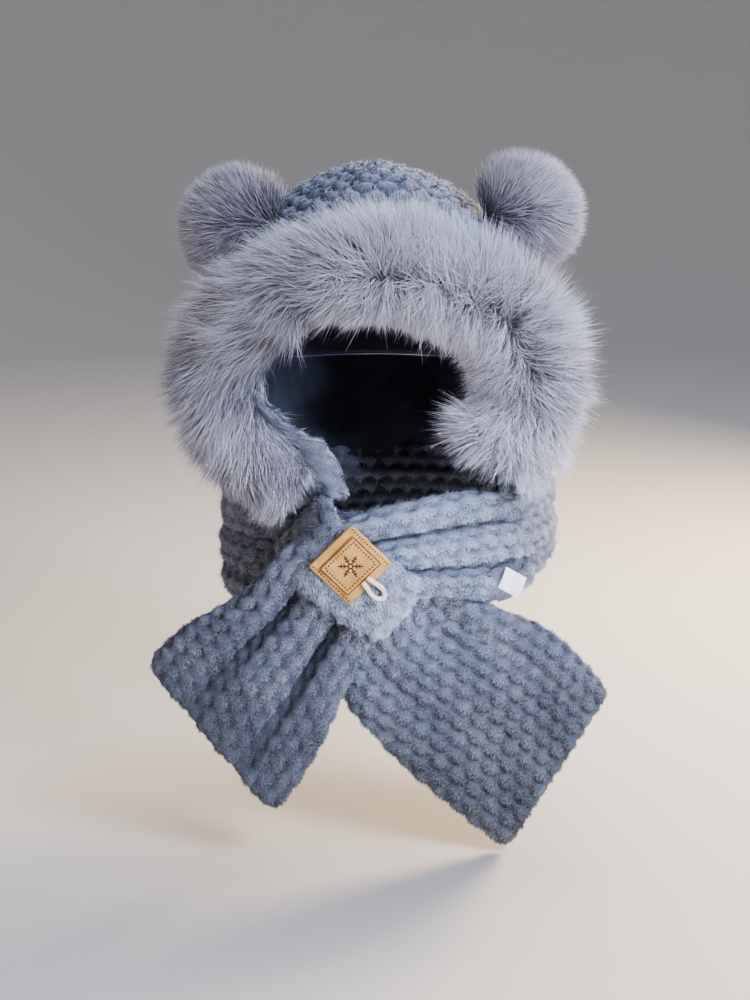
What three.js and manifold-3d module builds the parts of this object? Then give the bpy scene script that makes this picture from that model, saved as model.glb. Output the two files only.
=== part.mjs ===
// A knitted plush hood with round fur ears, a fur-trimmed face opening and a long scarf that crosses
// in front through a keeper. Millimetres, +Z up, the face looks along -Y. The origin is the inner top
// of the crown, where the hood sits on the head.
import * as THREE from 'three';
import { mergeVertices } from 'three/addons/utils/BufferGeometryUtils.js';
import Module from 'manifold-3d';

const wasm = await Module();
wasm.setup();

// Driving dimensions.
const clearance = 0.3;

const hood = {
  wall: 9.7,
  liningWall: 2,
  halfWidth: 145,
  frontDepth: 118,
  backDepth: 115,
  centreY: 15,
  widestDrop: 160,
  height: 297,
};

const face = {
  halfWidth: 118,
  topZ: -62,
  widestZ: -147,
  leftEndOut: 62,
  leftEndZ: -228,
  rightEndOut: 98,
  rightEndZ: -208,
};

const trim = {
  halfWidth: 21,
  halfDepth: 16,
  ahead: 5,
  pile: 44,
  lockWidth: 29,
  lockDepth: 14,
  lockCount: 17,
};

const ear = {
  radius: 47,
  coreRadius: 33,
  coreDepth: 17,
  lockWidth: 17,
  lockDepth: 12,
  ahead: 34,
  rightOut: 119,
  rightDrop: 20,
  leftOut: 110,
  leftDrop: 30,
  rootInwards: 31.5,
  rootDrop: 10,
};

const visor = {
  film: 1,
  halfWidth: 106,
  height: 62,
  edgeZ: -126,
  sideDrop: 12,
};

const neck = {
  centreX: 11,
  centreY: 15,
  halfWidth: 131,
  backDepth: 100,
  frontDepth: 105,
};

const band = {
  width: 165,
  thickness: 18,
  frontDepth: 132,
  frontLayerY: -131,
  backLayerY: -103,
  leftEndLength: 183,
  leftEndAngle: 232.8,
  leftEndY: -124,
  rightEndLength: 241,
  rightEndAngle: -44.5,
  rightEndY: -104,
};

const crossing = { x: -22, belowNeck: 3, backDrop: 12 };

const keeper = {
  length: 110,
  width: 62,
  thickness: 12,
  angle: -37,
  shift: 5,
  upperFoot: 60,
  lowerFoot: 50,
};

const patch = {
  across: 3.3,
  above: 12,
  angle: 45,
  baseLength: 47,
  baseWidth: 44,
  topLength: 37,
  topWidth: 31,
  thickness: 2,
  corner: 1.5,
};

const loopDiameter = 3.8;

const label = { length: 28, width: 18, thickness: 1, angle: -31, turn: -48, lift: 8, drop: 25 };

// How square the round forms are, 2 being an ellipse.
const frontSquareness = 3.4; // the front of the hood's plan at its widest ring
const backSquareness = 2.2; // the back of the hood's plan
const domeSquareness = { side: 1.8, front: 2.6, back: 2 }; // the dome's profiles
const edgeSquareness = 3.2; // the band's rolled edges
const archSquareness = 3; // the keeper's arch and its edges

const crownTop = hood.wall + clearance + hood.liningWall;
const neckZ = crownTop - hood.height;
const crossingZ = neckZ - crossing.belowNeck;
const patchX = crossing.x + patch.across;
const patchZ = crossingZ + patch.above;

// Helpers.
const radians = THREE.MathUtils.degToRad;
const mix = THREE.MathUtils.lerp;
const smooth = (share) => THREE.MathUtils.smoothstep(share, 0, 1);
const point = (x, y, z) => new THREE.Vector3(x, y, z);

// How wide a rounded form still is at a share of its rise: 1 at the foot and 0 at the top.
const rounded = (share, squareness) => (1 - share ** squareness) ** (1 / squareness);

// A signed power, which turns a circle's cosine and sine into those of a squarer ring.
const squared = (value, squareness) => Math.sign(value) * Math.abs(value) ** (2 / squareness);

// Moves every vertex of a closed geometry to its place, and keeps its faces pointing out.
function shaped(geometry, place) {
  geometry.deleteAttribute('normal');
  geometry.deleteAttribute('uv');
  const merged = mergeVertices(geometry, 1e-5);
  const position = merged.getAttribute('position');
  const vertex = new THREE.Vector3();
  for (let i = 0; i < position.count; i += 1) {
    vertex.fromBufferAttribute(position, i);
    const placed = place(vertex.x, vertex.y, vertex.z);
    position.setXYZ(i, placed.x, placed.y, placed.z);
  }
  if (signedVolume(merged) < 0) {
    merged.setIndex([...merged.getIndex().array].reverse());
  }
  return merged;
}

function signedVolume(geometry) {
  const position = geometry.getAttribute('position');
  const index = geometry.getIndex().array;
  const corner = [new THREE.Vector3(), new THREE.Vector3(), new THREE.Vector3()];
  let sum = 0;
  for (let i = 0; i < index.length; i += 3) {
    corner.forEach((vector, k) => vector.fromBufferAttribute(position, index[i + k]));
    sum += corner[0].dot(corner[1].cross(corner[2])) / 6;
  }
  return sum;
}

function solid(geometry) {
  return new wasm.Manifold(new wasm.Mesh({
    numProp: 3,
    vertProperties: new Float32Array(geometry.getAttribute('position').array),
    triVerts: new Uint32Array(geometry.getIndex().array),
  }));
}

// The geometry of a cut or joined solid. Crumbs that a cut has left loose are dropped.
function bodyOf(manifold) {
  const mesh = manifold.getMesh();
  const owner = Array.from({ length: mesh.vertProperties.length / 3 }, (_, i) => i);
  const root = (i) => {
    let at = i;
    while (owner[at] !== at) {
      at = owner[at];
    }
    return at;
  };
  const triangles = mesh.triVerts;
  for (let i = 0; i < triangles.length; i += 3) {
    owner[root(triangles[i + 1])] = root(triangles[i]);
    owner[root(triangles[i + 2])] = root(triangles[i]);
  }
  const sizes = new Map();
  triangles.forEach((vertex) => sizes.set(root(vertex), (sizes.get(root(vertex)) ?? 0) + 1));
  const main = [...sizes].sort((a, b) => b[1] - a[1])[0][0];
  const kept = [];
  for (let i = 0; i < triangles.length; i += 3) {
    if (root(triangles[i]) === main) {
      kept.push(triangles[i], triangles[i + 1], triangles[i + 2]);
    }
  }
  const geometry = new THREE.BufferGeometry();
  geometry.setAttribute('position', new THREE.BufferAttribute(new Float32Array(mesh.vertProperties), 3));
  geometry.setIndex(kept);
  return geometry;
}

const object = new THREE.Group();

function addPiece(name, manifold, color, roughness) {
  const material = new THREE.MeshStandardMaterial({ color, roughness, metalness: 0 });
  const geometry = bodyOf(manifold).toNonIndexed();
  geometry.computeVertexNormals();
  const mesh = new THREE.Mesh(geometry, material);
  mesh.name = name;
  object.add(mesh);
  return mesh;
}

// The scarf band: one knitted strip from the lower left end over the crossing, round the neck and
// behind the crossing to the lower right end. Each row is a section. On an end, at is the share of
// its length from the crossing; on the neck it is the turn in degrees from the wearer's left side
// (+X) over the back. width and drop are shares of the band's width, pleat and ahead of its
// thickness, and lean is the angle in degrees of the section's long side, seen from the front.
const bandSections = [
  { on: 'leftEnd', at: 1, width: 1, drop: 0, pleat: 0.08, lean: 127 },
  { on: 'leftEnd', at: 0.66, width: 0.86, drop: 0, pleat: 0.2, lean: 135 },
  { on: 'leftEnd', at: 0.32, width: 0.62, drop: 0, pleat: 0.3, lean: 145 },
  { on: 'leftEnd', at: 0, width: 0.52, drop: 0, pleat: 0.28, lean: 143 },
  { on: 'neck', at: -64, width: 0.54, drop: -0.05, pleat: 0.28, lean: 116 },
  { on: 'neck', at: -36, width: 0.49, drop: -0.02, pleat: 0.16, lean: 98 },
  { on: 'neck', at: -4, width: 0.52, drop: 0.01, pleat: 0.1, lean: 90 },
  { on: 'neck', at: 42, width: 0.5, drop: 0, pleat: 0.05, lean: 90 },
  { on: 'neck', at: 90, width: 0.49, drop: 0, pleat: 0.05, lean: 90 },
  { on: 'neck', at: 138, width: 0.5, drop: 0.03, pleat: 0.05, lean: 90 },
  { on: 'neck', at: 184, width: 0.5, drop: 0.1, pleat: 0.12, lean: 90 },
  { on: 'neck', at: 214, width: 0.52, drop: 0.09, pleat: 0.15, lean: 84 },
  { on: 'neck', at: 240, width: 0.56, drop: 0.07, pleat: 0.1, lean: 68 },
  { on: 'rightEnd', at: 0, width: 0.64, drop: 0, pleat: 0.05, lean: 52 },
  { on: 'rightEnd', at: 0.3, width: 0.82, drop: 0.09, pleat: 0.05, lean: 46, ahead: 0.05 },
  { on: 'rightEnd', at: 0.64, width: 0.98, drop: 0.01, pleat: 0.03, lean: 49, ahead: 0.22 },
  { on: 'rightEnd', at: 1, width: 0.96, drop: 0, pleat: 0, lean: 60 },
];

const endPlaces = {
  leftEnd: (at) => point(
    crossing.x + Math.cos(radians(band.leftEndAngle)) * band.leftEndLength * at,
    mix(band.frontLayerY, band.leftEndY, smooth(at)),
    crossingZ + Math.sin(radians(band.leftEndAngle)) * band.leftEndLength * at,
  ),
  rightEnd: (at) => point(
    crossing.x + Math.cos(radians(band.rightEndAngle)) * band.rightEndLength * at,
    mix(band.backLayerY, band.rightEndY, at),
    crossingZ - crossing.backDrop + Math.sin(radians(band.rightEndAngle)) * band.rightEndLength * at,
  ),
};

function neckPlace(turn) {
  const angle = radians(turn);
  const front = turn < 90 ? band.frontDepth : neck.centreY - band.backLayerY;
  const behind = Math.sin(angle) > 0;
  const squareness = behind ? backSquareness : 2;
  return point(
    neck.centreX + neck.halfWidth * squared(Math.cos(angle), squareness),
    neck.centreY + (behind ? neck.backDepth : front) * squared(Math.sin(angle), squareness),
    neckZ,
  );
}

function sectionPlace(row) {
  const place = row.on === 'neck' ? neckPlace(row.at) : endPlaces[row.on](row.at);
  place.z -= row.drop * band.width;
  place.y -= (row.ahead ?? 0) * band.thickness;
  return place;
}

const bandPath = new THREE.CatmullRomCurve3(bandSections.map(sectionPlace), false, 'centripetal');
const bandShape = new THREE.CatmullRomCurve3(
  bandSections.map((row) => point(row.width, row.pleat, row.lean / 90)),
  false,
  'centripetal',
);

const pleatCount = 3.5; // waves across the gathered band
const bandEdge = 0.42; // the rolled edge's thickness as a share of the band's

// The solid of the band, thicker and wider by grow on every side.
function scarfBand(grow) {
  const strip = new THREE.BoxGeometry(2, 2, 1, 10, 1, 47);
  return solid(shaped(strip, (across, through, along) => {
    const t = along + 0.5;
    const { x: width, y: pleat, z: lean } = bandShape.getPoint(t);
    const angle = radians(lean * 90);
    const side = point(Math.cos(angle), 0, Math.sin(angle));
    const forward = bandPath.getTangent(t);
    const out = new THREE.Vector3().crossVectors(forward, side).normalize();
    const fullness = rounded(Math.abs(across), edgeSquareness);
    const wave = Math.cos(Math.PI * pleatCount * across) * pleat * fullness;
    const half = (band.thickness / 2) * mix(bandEdge, 1, fullness);
    const end = grow * (Math.floor(t) - Math.floor(1 - t));
    return bandPath.getPoint(t)
      .addScaledVector(side, across * ((width * band.width) / 2 + grow))
      .addScaledVector(out, through * (half + grow) + wave * band.thickness)
      .addScaledVector(forward, end);
  }));
}

// The hood's rings: an egg-shaped plan, squarer in front, that closes to a dome above its widest
// ring and draws in to the neck below it. inset moves the surface inwards.
function hoodRing(z, inset) {
  const widestZ = crownTop - hood.widestDrop;
  const half = hood.halfWidth - inset;
  const front = hood.frontDepth - inset;
  const back = hood.backDepth - inset;
  if (z >= widestZ) {
    const rise = Math.min(1, (z - widestZ) / (crownTop - inset - widestZ));
    return {
      x: 0,
      y: hood.centreY,
      half: half * rounded(rise, domeSquareness.side),
      front: front * rounded(rise, domeSquareness.front),
      back: back * rounded(rise, domeSquareness.back),
      squareness: mix(frontSquareness, 2, rise),
    };
  }
  const fall = smooth(Math.min(1, (widestZ - z) / (widestZ - neckZ)));
  const toNeck = hood.wall / 2 - inset;
  return {
    x: neck.centreX * fall,
    y: mix(hood.centreY, neck.centreY, fall),
    half: mix(half, neck.halfWidth + toNeck, fall),
    front: mix(front, neck.frontDepth + toNeck, fall),
    back: mix(back, neck.backDepth + toNeck, fall),
    squareness: mix(frontSquareness, backSquareness, fall),
  };
}

const neckReach = 20; // how far the cutters go on below the neck edge
const ringCrowding = 1.6; // how much closer the rings lie near the crown

// The closed form inside the hood's surface, down to well below its neck edge.
function hoodForm(inset) {
  const rows = 11;
  const globe = new THREE.SphereGeometry(1, 26, rows);
  return solid(shaped(globe, (gx, gy, gz) => {
    const polar = (Math.acos(THREE.MathUtils.clamp(gy, -1, 1)) / Math.PI) * rows;
    const share = Math.min(1, polar / (rows - 1));
    const span = hood.height - inset + neckReach;
    const z = crownTop - inset - span * share ** ringCrowding;
    const ring = hoodRing(z, inset);
    const across = Math.hypot(gx, gz);
    if (across < 1e-6) {
      return point(ring.x, ring.y, z);
    }
    const c = gx / across;
    const s = -gz / across;
    const squareness = s < 0 ? ring.squareness : backSquareness;
    return point(
      ring.x + ring.half * squared(c, squareness),
      ring.y + (s < 0 ? ring.front : ring.back) * squared(s, squareness),
      z,
    );
  }));
}

// The y of the hood's front at a place seen from the front.
function hoodFrontY(x, z, inset) {
  const ring = hoodRing(z, inset);
  const share = Math.min(1, Math.abs(x - ring.x) / ring.half);
  return ring.y - ring.front * rounded(share, ring.squareness);
}

// The face opening's edge, seen from the front, from the lower left over the top to the lower right.
// It stays wide for most of its fall and then turns in to each end below the chin.
const endFullness = { out: 0.65, low: 0.2, high: 0.65 };
const faceEdge = new THREE.Path();
faceEdge.moveTo(-face.leftEndOut, face.leftEndZ);
faceEdge.bezierCurveTo(
  -mix(face.leftEndOut, face.halfWidth, endFullness.out),
  mix(face.leftEndZ, face.widestZ, endFullness.low),
  -face.halfWidth,
  mix(face.leftEndZ, face.widestZ, endFullness.high),
  -face.halfWidth,
  face.widestZ,
);
faceEdge.absellipse(0, face.widestZ, face.halfWidth, face.topZ - face.widestZ, Math.PI, 0, true);
faceEdge.bezierCurveTo(
  face.halfWidth,
  mix(face.rightEndZ, face.widestZ, endFullness.high),
  mix(face.rightEndOut, face.halfWidth, endFullness.out),
  mix(face.rightEndZ, face.widestZ, endFullness.low),
  face.rightEndOut,
  face.rightEndZ,
);

// The block that cuts the face opening, which is open downwards to below the neck edge.
function faceCutter(grow) {
  const outline = faceEdge.getSpacedPoints(22).map((at) => at.clone());
  const centre = new THREE.Vector2(0, face.widestZ);
  outline.forEach((at) => at.addScaledVector(at.clone().sub(centre).normalize(), grow));
  outline.push(new THREE.Vector2(face.rightEndOut, neckZ - hood.height));
  outline.push(new THREE.Vector2(-face.leftEndOut, neckZ - hood.height));
  const length = hood.frontDepth * 2;
  const block = new THREE.ExtrudeGeometry(new THREE.Shape(outline), { depth: length, bevelEnabled: false });
  return solid(shaped(block, (x, z, y) => point(x, hood.centreY - y, z)));
}

// All that lies below the neck edge.
function belowNeck(grow) {
  const size = hood.halfWidth * 4;
  const block = new THREE.BoxGeometry(size, size, size);
  return solid(shaped(block, (x, y, z) => point(x, y, z + neckZ - grow - size / 2)));
}

// A wall of the hood between two insets, open at the face and the neck, with room to spare by grow.
function hoodWall(outerInset, innerInset, grow) {
  return hoodForm(outerInset - grow)
    .subtract(hoodForm(innerInset + grow))
    .subtract(faceCutter(-grow))
    .subtract(belowNeck(grow));
}

const wallInset = hood.wall + clearance;
const fullInset = wallInset + hood.liningWall;
const bandClear = scarfBand(clearance);

addPiece('scarf_band', scarfBand(0), '#8d9ab2', 0.95);
addPiece('hood_shell', hoodWall(0, hood.wall, 0).subtract(bandClear), '#8592ab', 0.95);
addPiece('hood_lining', hoodWall(wallInset, fullInset, 0).subtract(bandClear), '#59617a', 0.9);

// A lock of fur: a flat, bent cone from a root sunk in its backing to a tip.
function lock(root, tip, flat, bend, width, depth) {
  const axis = tip.clone().sub(root).normalize();
  const thin = flat.clone().addScaledVector(axis, -flat.dot(axis)).normalize();
  const wide = new THREE.Vector3().crossVectors(axis, thin);
  const middle = root.clone().lerp(tip, 0.5).addScaledVector(thin, bend);
  const curve = new THREE.QuadraticBezierCurve3(root, middle, tip);
  const cone = new THREE.ConeGeometry(1, 1, 4, 2);
  return solid(shaped(cone, (cx, cy, cz) => {
    const along = cy + 0.5;
    const swell = 1 + Math.sin(Math.PI * along);
    return curve.getPoint(along)
      .addScaledVector(wide, cx * width * swell * 0.5)
      .addScaledVector(thin, cz * depth * swell * 0.5);
  }));
}

// The fur trim: a backing roll wrapped round the hood's front edge, with three rows of locks. The
// rows below say how the nap lies along the edge, from the lower left end to the lower right one:
// outer and inner are shares of the pile's length, and comb leans it towards the lower left end.
const napRows = [
  { along: 0, outer: 0.3, inner: 0.35, comb: 0.4 },
  { along: 0.2, outer: 0.8, inner: 0.2, comb: 0.7 },
  { along: 0.36, outer: 0.9, inner: 0.45, comb: 0.7 },
  { along: 0.5, outer: 0.95, inner: 0.6, comb: 0.1 },
  { along: 0.66, outer: 0.95, inner: 0.65, comb: -0.2 },
  { along: 0.84, outer: 1, inner: 0.85, comb: -0.1 },
  { along: 1, outer: 0.4, inner: 0.55, comb: -0.3 },
];

function napAt(along, column) {
  const after = Math.max(1, napRows.findIndex((row) => row.along >= along));
  const [low, high] = [napRows[after - 1], napRows[after]];
  return mix(low[column], high[column], smooth((along - low.along) / (high.along - low.along)));
}

function rimFrame(along) {
  const middle = hood.wall / 2;
  const at = (share) => {
    const flat = faceEdge.getPointAt(THREE.MathUtils.clamp(share, 0, 1));
    return point(flat.x, hoodFrontY(flat.x, flat.y, middle), flat.y);
  };
  const place = at(along);
  const run = at(along + 0.01).sub(at(along - 0.01)).normalize();
  const outwards = point(place.x, 0, place.z - face.widestZ).normalize();
  const ahead = new THREE.Vector3().crossVectors(run, outwards).normalize();
  outwards.crossVectors(ahead, run).normalize();
  return { place, run, outwards, ahead };
}

const lockSunk = 0.6; // how far out on the roll's section a lock is rooted

const lockRows = [
  { turn: 8, nap: 'outer', rise: -0.12, offset: 0 },
  { turn: 62, nap: 'outer', rise: 0.25, offset: 0.5 },
  { turn: 140, nap: 'inner', rise: 0.1, offset: 0 },
];

function trimRoll(grow) {
  const tube = new THREE.CylinderGeometry(1, 1, 1, 8, 28);
  return solid(shaped(tube, (c, h, s) => {
    const { place, outwards, ahead } = rimFrame(h + 0.5);
    return place
      .addScaledVector(outwards, c * (trim.halfWidth + grow))
      .addScaledVector(ahead, s * (trim.halfDepth + grow) + trim.ahead);
  }));
}

function furTrim() {
  let fur = trimRoll(0);
  for (const row of lockRows) {
    for (let i = 0; i < trim.lockCount; i += 1) {
      const along = (i + 0.25 + row.offset) / trim.lockCount;
      const { place, run, outwards, ahead } = rimFrame(along);
      const turn = radians(row.turn);
      const root = place.clone()
        .addScaledVector(outwards, Math.cos(turn) * trim.halfWidth * lockSunk)
        .addScaledVector(ahead, Math.sin(turn) * trim.halfDepth * lockSunk + trim.ahead);
      const way = outwards.clone().multiplyScalar(Math.cos(turn))
        .addScaledVector(ahead, row.rise)
        .addScaledVector(run, -napAt(along, 'comb'))
        .normalize();
      const reach = trim.pile * napAt(along, row.nap) + trim.halfWidth * (1 - lockSunk);
      const tip = root.clone().addScaledVector(way, reach);
      fur = fur.add(lock(root, tip, ahead, trim.lockDepth * 0.3, trim.lockWidth, trim.lockDepth));
    }
  }
  return fur;
}

const hoodClear = hoodWall(0, fullInset, clearance);

// The ears: round fur discs, each grown from a root on the hood's upper side.
const ears = [
  { name: 'ear_right', side: 1, out: ear.rightOut, drop: ear.rightDrop },
  { name: 'ear_left', side: -1, out: ear.leftOut, drop: ear.leftDrop },
];

const earRings = [
  { count: 13, ahead: 0, share: 1, from: 0.45 },
  { count: 8, ahead: -0.4, share: 0.82, from: 0.25 },
  { count: 8, ahead: 0.4, share: 0.82, from: 0.25 },
];

function furEar(place) {
  const centre = point(place.side * place.out, -ear.ahead, -place.drop);
  const root = centre.clone().add(point(-place.side * ear.rootInwards, 0, -ear.rootDrop));
  const core = new THREE.SphereGeometry(1, 12, 6);
  let fur = solid(shaped(core, (x, y, z) => point(
    centre.x + x * ear.coreRadius,
    centre.y + y * ear.coreDepth,
    centre.z + z * ear.coreRadius,
  )));
  for (const ring of earRings) {
    for (let i = 0; i < ring.count; i += 1) {
      const turn = ((i + ring.ahead) / ring.count) * Math.PI * 2;
      const spoke = point(Math.cos(turn), 0, Math.sin(turn));
      const tip = centre.clone().addScaledVector(spoke, ear.radius * ring.share);
      tip.y += ring.ahead * ear.radius;
      const start = centre.clone().addScaledVector(spoke, ear.coreRadius * ring.from);
      start.lerp(root, 0.12);
      const flat = point(0, 1, 0).addScaledVector(spoke, ring.ahead);
      fur = fur.add(lock(start, tip, flat, 0, ear.lockWidth, ear.lockDepth));
    }
  }
  return fur.subtract(hoodForm(-clearance));
}

for (const place of ears) {
  addPiece(place.name, furEar(place), '#9a99a8', 1);
}

// The keeper: a padded plush band that arches over the gathered strand, its two feet sewn to the
// strand behind. The strand goes through below it.
const crossingPleat = bandSections.find((row) => row.on === 'leftEnd' && row.at === 0).pleat;
const pleatCrestY = band.frontLayerY - band.thickness * (0.5 + crossingPleat);
const keeperTopY = pleatCrestY - clearance - keeper.thickness;
const keeperLong = point(Math.cos(radians(keeper.angle)), 0, Math.sin(radians(keeper.angle)));
const keeperWide = point(-keeperLong.z, 0, keeperLong.x);

function keeperArch(share) {
  const turn = (share * Math.PI) / 2;
  const foot = share < 0 ? keeper.upperFoot : keeper.lowerFoot;
  const half = (keeper.length - keeper.thickness) / 2;
  return point(crossing.x, keeperTopY + keeper.thickness / 2, crossingZ)
    .addScaledVector(keeperLong, keeper.shift + half * squared(Math.sin(turn), archSquareness))
    .add(point(0, foot * (1 - squared(Math.cos(turn), archSquareness)), 0));
}

function keeperLoop(grow) {
  const strip = new THREE.BoxGeometry(2, 2, 2, 14, 1, 4);
  return solid(shaped(strip, (along, through, across) => {
    const share = THREE.MathUtils.clamp(along, -0.999, 0.999);
    const run = keeperArch(share + 0.001).sub(keeperArch(share - 0.001)).normalize();
    const out = new THREE.Vector3().crossVectors(keeperWide, run).normalize();
    const edge = mix(bandEdge, 1, rounded(Math.abs(across), archSquareness));
    return keeperArch(along)
      .addScaledVector(keeperWide, across * (keeper.width / 2 + grow))
      .addScaledVector(out, through * ((keeper.thickness / 2) * edge + grow));
  }));
}

addPiece('keeper_loop', keeperLoop(0).subtract(bandClear).subtract(hoodClear), '#97a4bd', 0.95);

const trimSolid = furTrim().subtract(hoodClear).subtract(bandClear).subtract(keeperLoop(clearance));
addPiece('fur_trim', trimSolid, '#a6a3b2', 1);

// The visor: a clear film that hangs under the fur from the lining's front edge.
function visorFilm() {
  const seatZ = mix(face.topZ, face.widestZ, 0.25);
  const sheet = new THREE.BoxGeometry(2, 1, 1, 12, 1, 1);
  return solid(shaped(sheet, (across, through, up) => {
    const x = across * visor.halfWidth;
    const y = hoodFrontY(x, seatZ, fullInset + clearance + visor.film / 2);
    const edge = visor.edgeZ - visor.sideDrop * across ** 2;
    return point(x, y + through * visor.film, edge + (up + 0.5) * visor.height);
  }));
}

addPiece('visor', visorFilm().subtract(hoodClear).subtract(trimRoll(clearance)), '#b9b2d0', 0.15);

// The leather patch: two squares stitched on each other, lying on the keeper's front.
const patchBaseY = keeperTopY - clearance - patch.thickness;
const patchTopY = patchBaseY - clearance - patch.thickness;

function leatherSquare(length, width) {
  const r = patch.corner;
  const [x, y] = [length / 2 - r, width / 2 - r];
  const outline = new THREE.Shape();
  outline.absarc(x, y, r, 0, Math.PI / 2);
  outline.absarc(-x, y, r, Math.PI / 2, Math.PI);
  outline.absarc(-x, -y, r, Math.PI, Math.PI * 1.5);
  outline.absarc(x, -y, r, Math.PI * 1.5, Math.PI * 2);
  const slab = { depth: patch.thickness, bevelEnabled: false, curveSegments: 2 };
  return solid(shaped(new THREE.ExtrudeGeometry(outline, slab), (a, b, c) => point(a, c, b)));
}

const patchRows = [
  { name: 'patch_base', y: patchBaseY, length: patch.baseLength, width: patch.baseWidth },
  { name: 'patch_top', y: patchTopY, length: patch.topLength, width: patch.topWidth },
];
for (const row of patchRows) {
  const square = addPiece(row.name, leatherSquare(row.length, row.width), '#d0a06c', 0.55);
  square.position.set(patchX, row.y, patchZ);
  square.rotation.y = -radians(patch.angle);
}

// The cord loop: its two ends come out at the upper square's lower right edge. The route is given
// along and across the loop, from one end round to the other.
const loopRoute = [
  [0, -2.6], [5.5, -3.5], [11, -4.5], [15.5, -4.3], [18.8, -2.4], [20, 0],
  [18.8, 2.4], [15.5, 4.3], [11, 4.5], [5.5, 3.5], [0, 2.6],
];

function cordLoop() {
  const away = point(Math.cos(radians(patch.angle)), 0, -Math.sin(radians(patch.angle)));
  const beside = point(-away.z, 0, away.x);
  const start = point(patchX, patchBaseY - clearance - loopDiameter / 2, patchZ)
    .addScaledVector(away, patch.topWidth / 2 + clearance);
  const route = new THREE.CatmullRomCurve3(loopRoute.map(([along, across]) => start.clone()
    .addScaledVector(away, along)
    .addScaledVector(beside, across)));
  const section = new THREE.Shape();
  section.absarc(0, 0, loopDiameter / 2, 0, Math.PI * 2);
  const sweep = { steps: 16, curveSegments: 4, bevelEnabled: false, extrudePath: route };
  return solid(shaped(new THREE.ExtrudeGeometry(section, sweep), point));
}

addPiece('cord_loop', cordLoop(), '#ede3d6', 0.8);

// The care label: a plain strip of white satin. It lies against the front of the right strand, and
// its lower edge is tucked behind the top edge of the lower right end.
const careLabel = addPiece(
  'care_label',
  solid(shaped(new THREE.BoxGeometry(label.length, label.thickness, label.width), point)),
  '#f2f2fa',
  0.5,
);
const labelRun = neckPlace(label.turn + 1).sub(neckPlace(label.turn - 1)).normalize();
const labelOut = new THREE.Vector3().crossVectors(labelRun, point(0, 0, 1));
const labelYaw = Math.atan2(labelRun.y, labelRun.x);
careLabel.rotation.set(0, -radians(label.angle), labelYaw, 'ZYX');
careLabel.position
  .copy(neckPlace(label.turn))
  .addScaledVector(labelOut, band.thickness / 2 + clearance + label.thickness / 2 + label.lift)
  .add(point(0, 0, -label.drop));

export default object;
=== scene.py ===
# A knitted plush hood with round fur ears, a fur-trimmed face opening and a long scarf that crosses
# in front through a keeper. Metres, the face looks along -Y, and the origin is the inner top of the
# crown. The sections follow the hood scarf as it is put together.
import math

import bpy
import numpy as np
from mathutils import Matrix, Vector


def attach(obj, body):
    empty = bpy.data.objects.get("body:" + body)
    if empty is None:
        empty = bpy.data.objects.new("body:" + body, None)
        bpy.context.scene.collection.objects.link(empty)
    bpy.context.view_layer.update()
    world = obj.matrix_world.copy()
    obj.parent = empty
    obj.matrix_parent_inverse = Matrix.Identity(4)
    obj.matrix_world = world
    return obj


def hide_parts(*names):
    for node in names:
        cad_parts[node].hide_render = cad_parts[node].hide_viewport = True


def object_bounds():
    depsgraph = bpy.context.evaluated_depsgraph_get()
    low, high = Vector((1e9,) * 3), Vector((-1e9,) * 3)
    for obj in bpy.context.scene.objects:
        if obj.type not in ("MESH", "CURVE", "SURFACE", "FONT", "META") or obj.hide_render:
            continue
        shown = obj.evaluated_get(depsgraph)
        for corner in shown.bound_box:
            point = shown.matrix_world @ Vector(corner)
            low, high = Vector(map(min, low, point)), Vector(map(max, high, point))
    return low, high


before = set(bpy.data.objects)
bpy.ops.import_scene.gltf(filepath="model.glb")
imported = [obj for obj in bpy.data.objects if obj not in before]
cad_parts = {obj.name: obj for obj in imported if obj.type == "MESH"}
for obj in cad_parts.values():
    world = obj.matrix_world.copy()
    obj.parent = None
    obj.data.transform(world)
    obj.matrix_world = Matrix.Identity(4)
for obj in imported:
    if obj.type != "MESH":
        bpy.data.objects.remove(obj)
solid_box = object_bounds()

# ---- The studio
# A pale, round floor whose rim sweeps up all round, with soft daylight from the right and above.
# The camera stands 1.5 m away and looks down by 15 degrees, as the photograph does.
VIEW_TARGET = Vector((0, 0, -0.267))
VIEW_DISTANCE = 1.5
VIEW_DOWN = math.radians(15)
LONG_SIDE_PX = 1000
FOCAL_PX = 1765


def linear(colour):
    """An sRGB hex colour as the linear one that a shader takes."""
    shares = [int(colour[i : i + 2], 16) / 255 for i in (1, 3, 5)]
    return (*[s / 12.92 if s <= 0.04045 else ((s + 0.055) / 1.055) ** 2.4 for s in shares], 1)


def add(tree, kind, settings=None, **links):
    """Adds one shader node. A link is another node, which stands for its first output, a socket or
    a plain value, for an input that is given by its name, or as in0, in1 by its place."""
    node = tree.nodes.new("ShaderNode" + kind)
    for name, value in (settings or {}).items():
        if name == "stops":
            ramp = node.color_ramp.elements
            while len(ramp) < len(value):
                ramp.new(1)
            for stop, (at, colour) in zip(ramp, value):
                stop.position, stop.color = at, linear(colour)
        else:
            setattr(node, name, value)
    for name, value in links.items():
        socket = node.inputs[int(name[2:]) if name.startswith("in") else name.replace("_", " ")]
        value = value.outputs[0] if isinstance(value, bpy.types.Node) else value
        if isinstance(value, bpy.types.NodeSocket):
            tree.links.new(value, socket)
        else:
            socket.default_value = value
    return node


def new_material(name):
    """An empty material with its tree and its output node."""
    material = bpy.data.materials.new(name)
    material.use_nodes = True
    material.node_tree.nodes.clear()
    return material, material.node_tree


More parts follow.
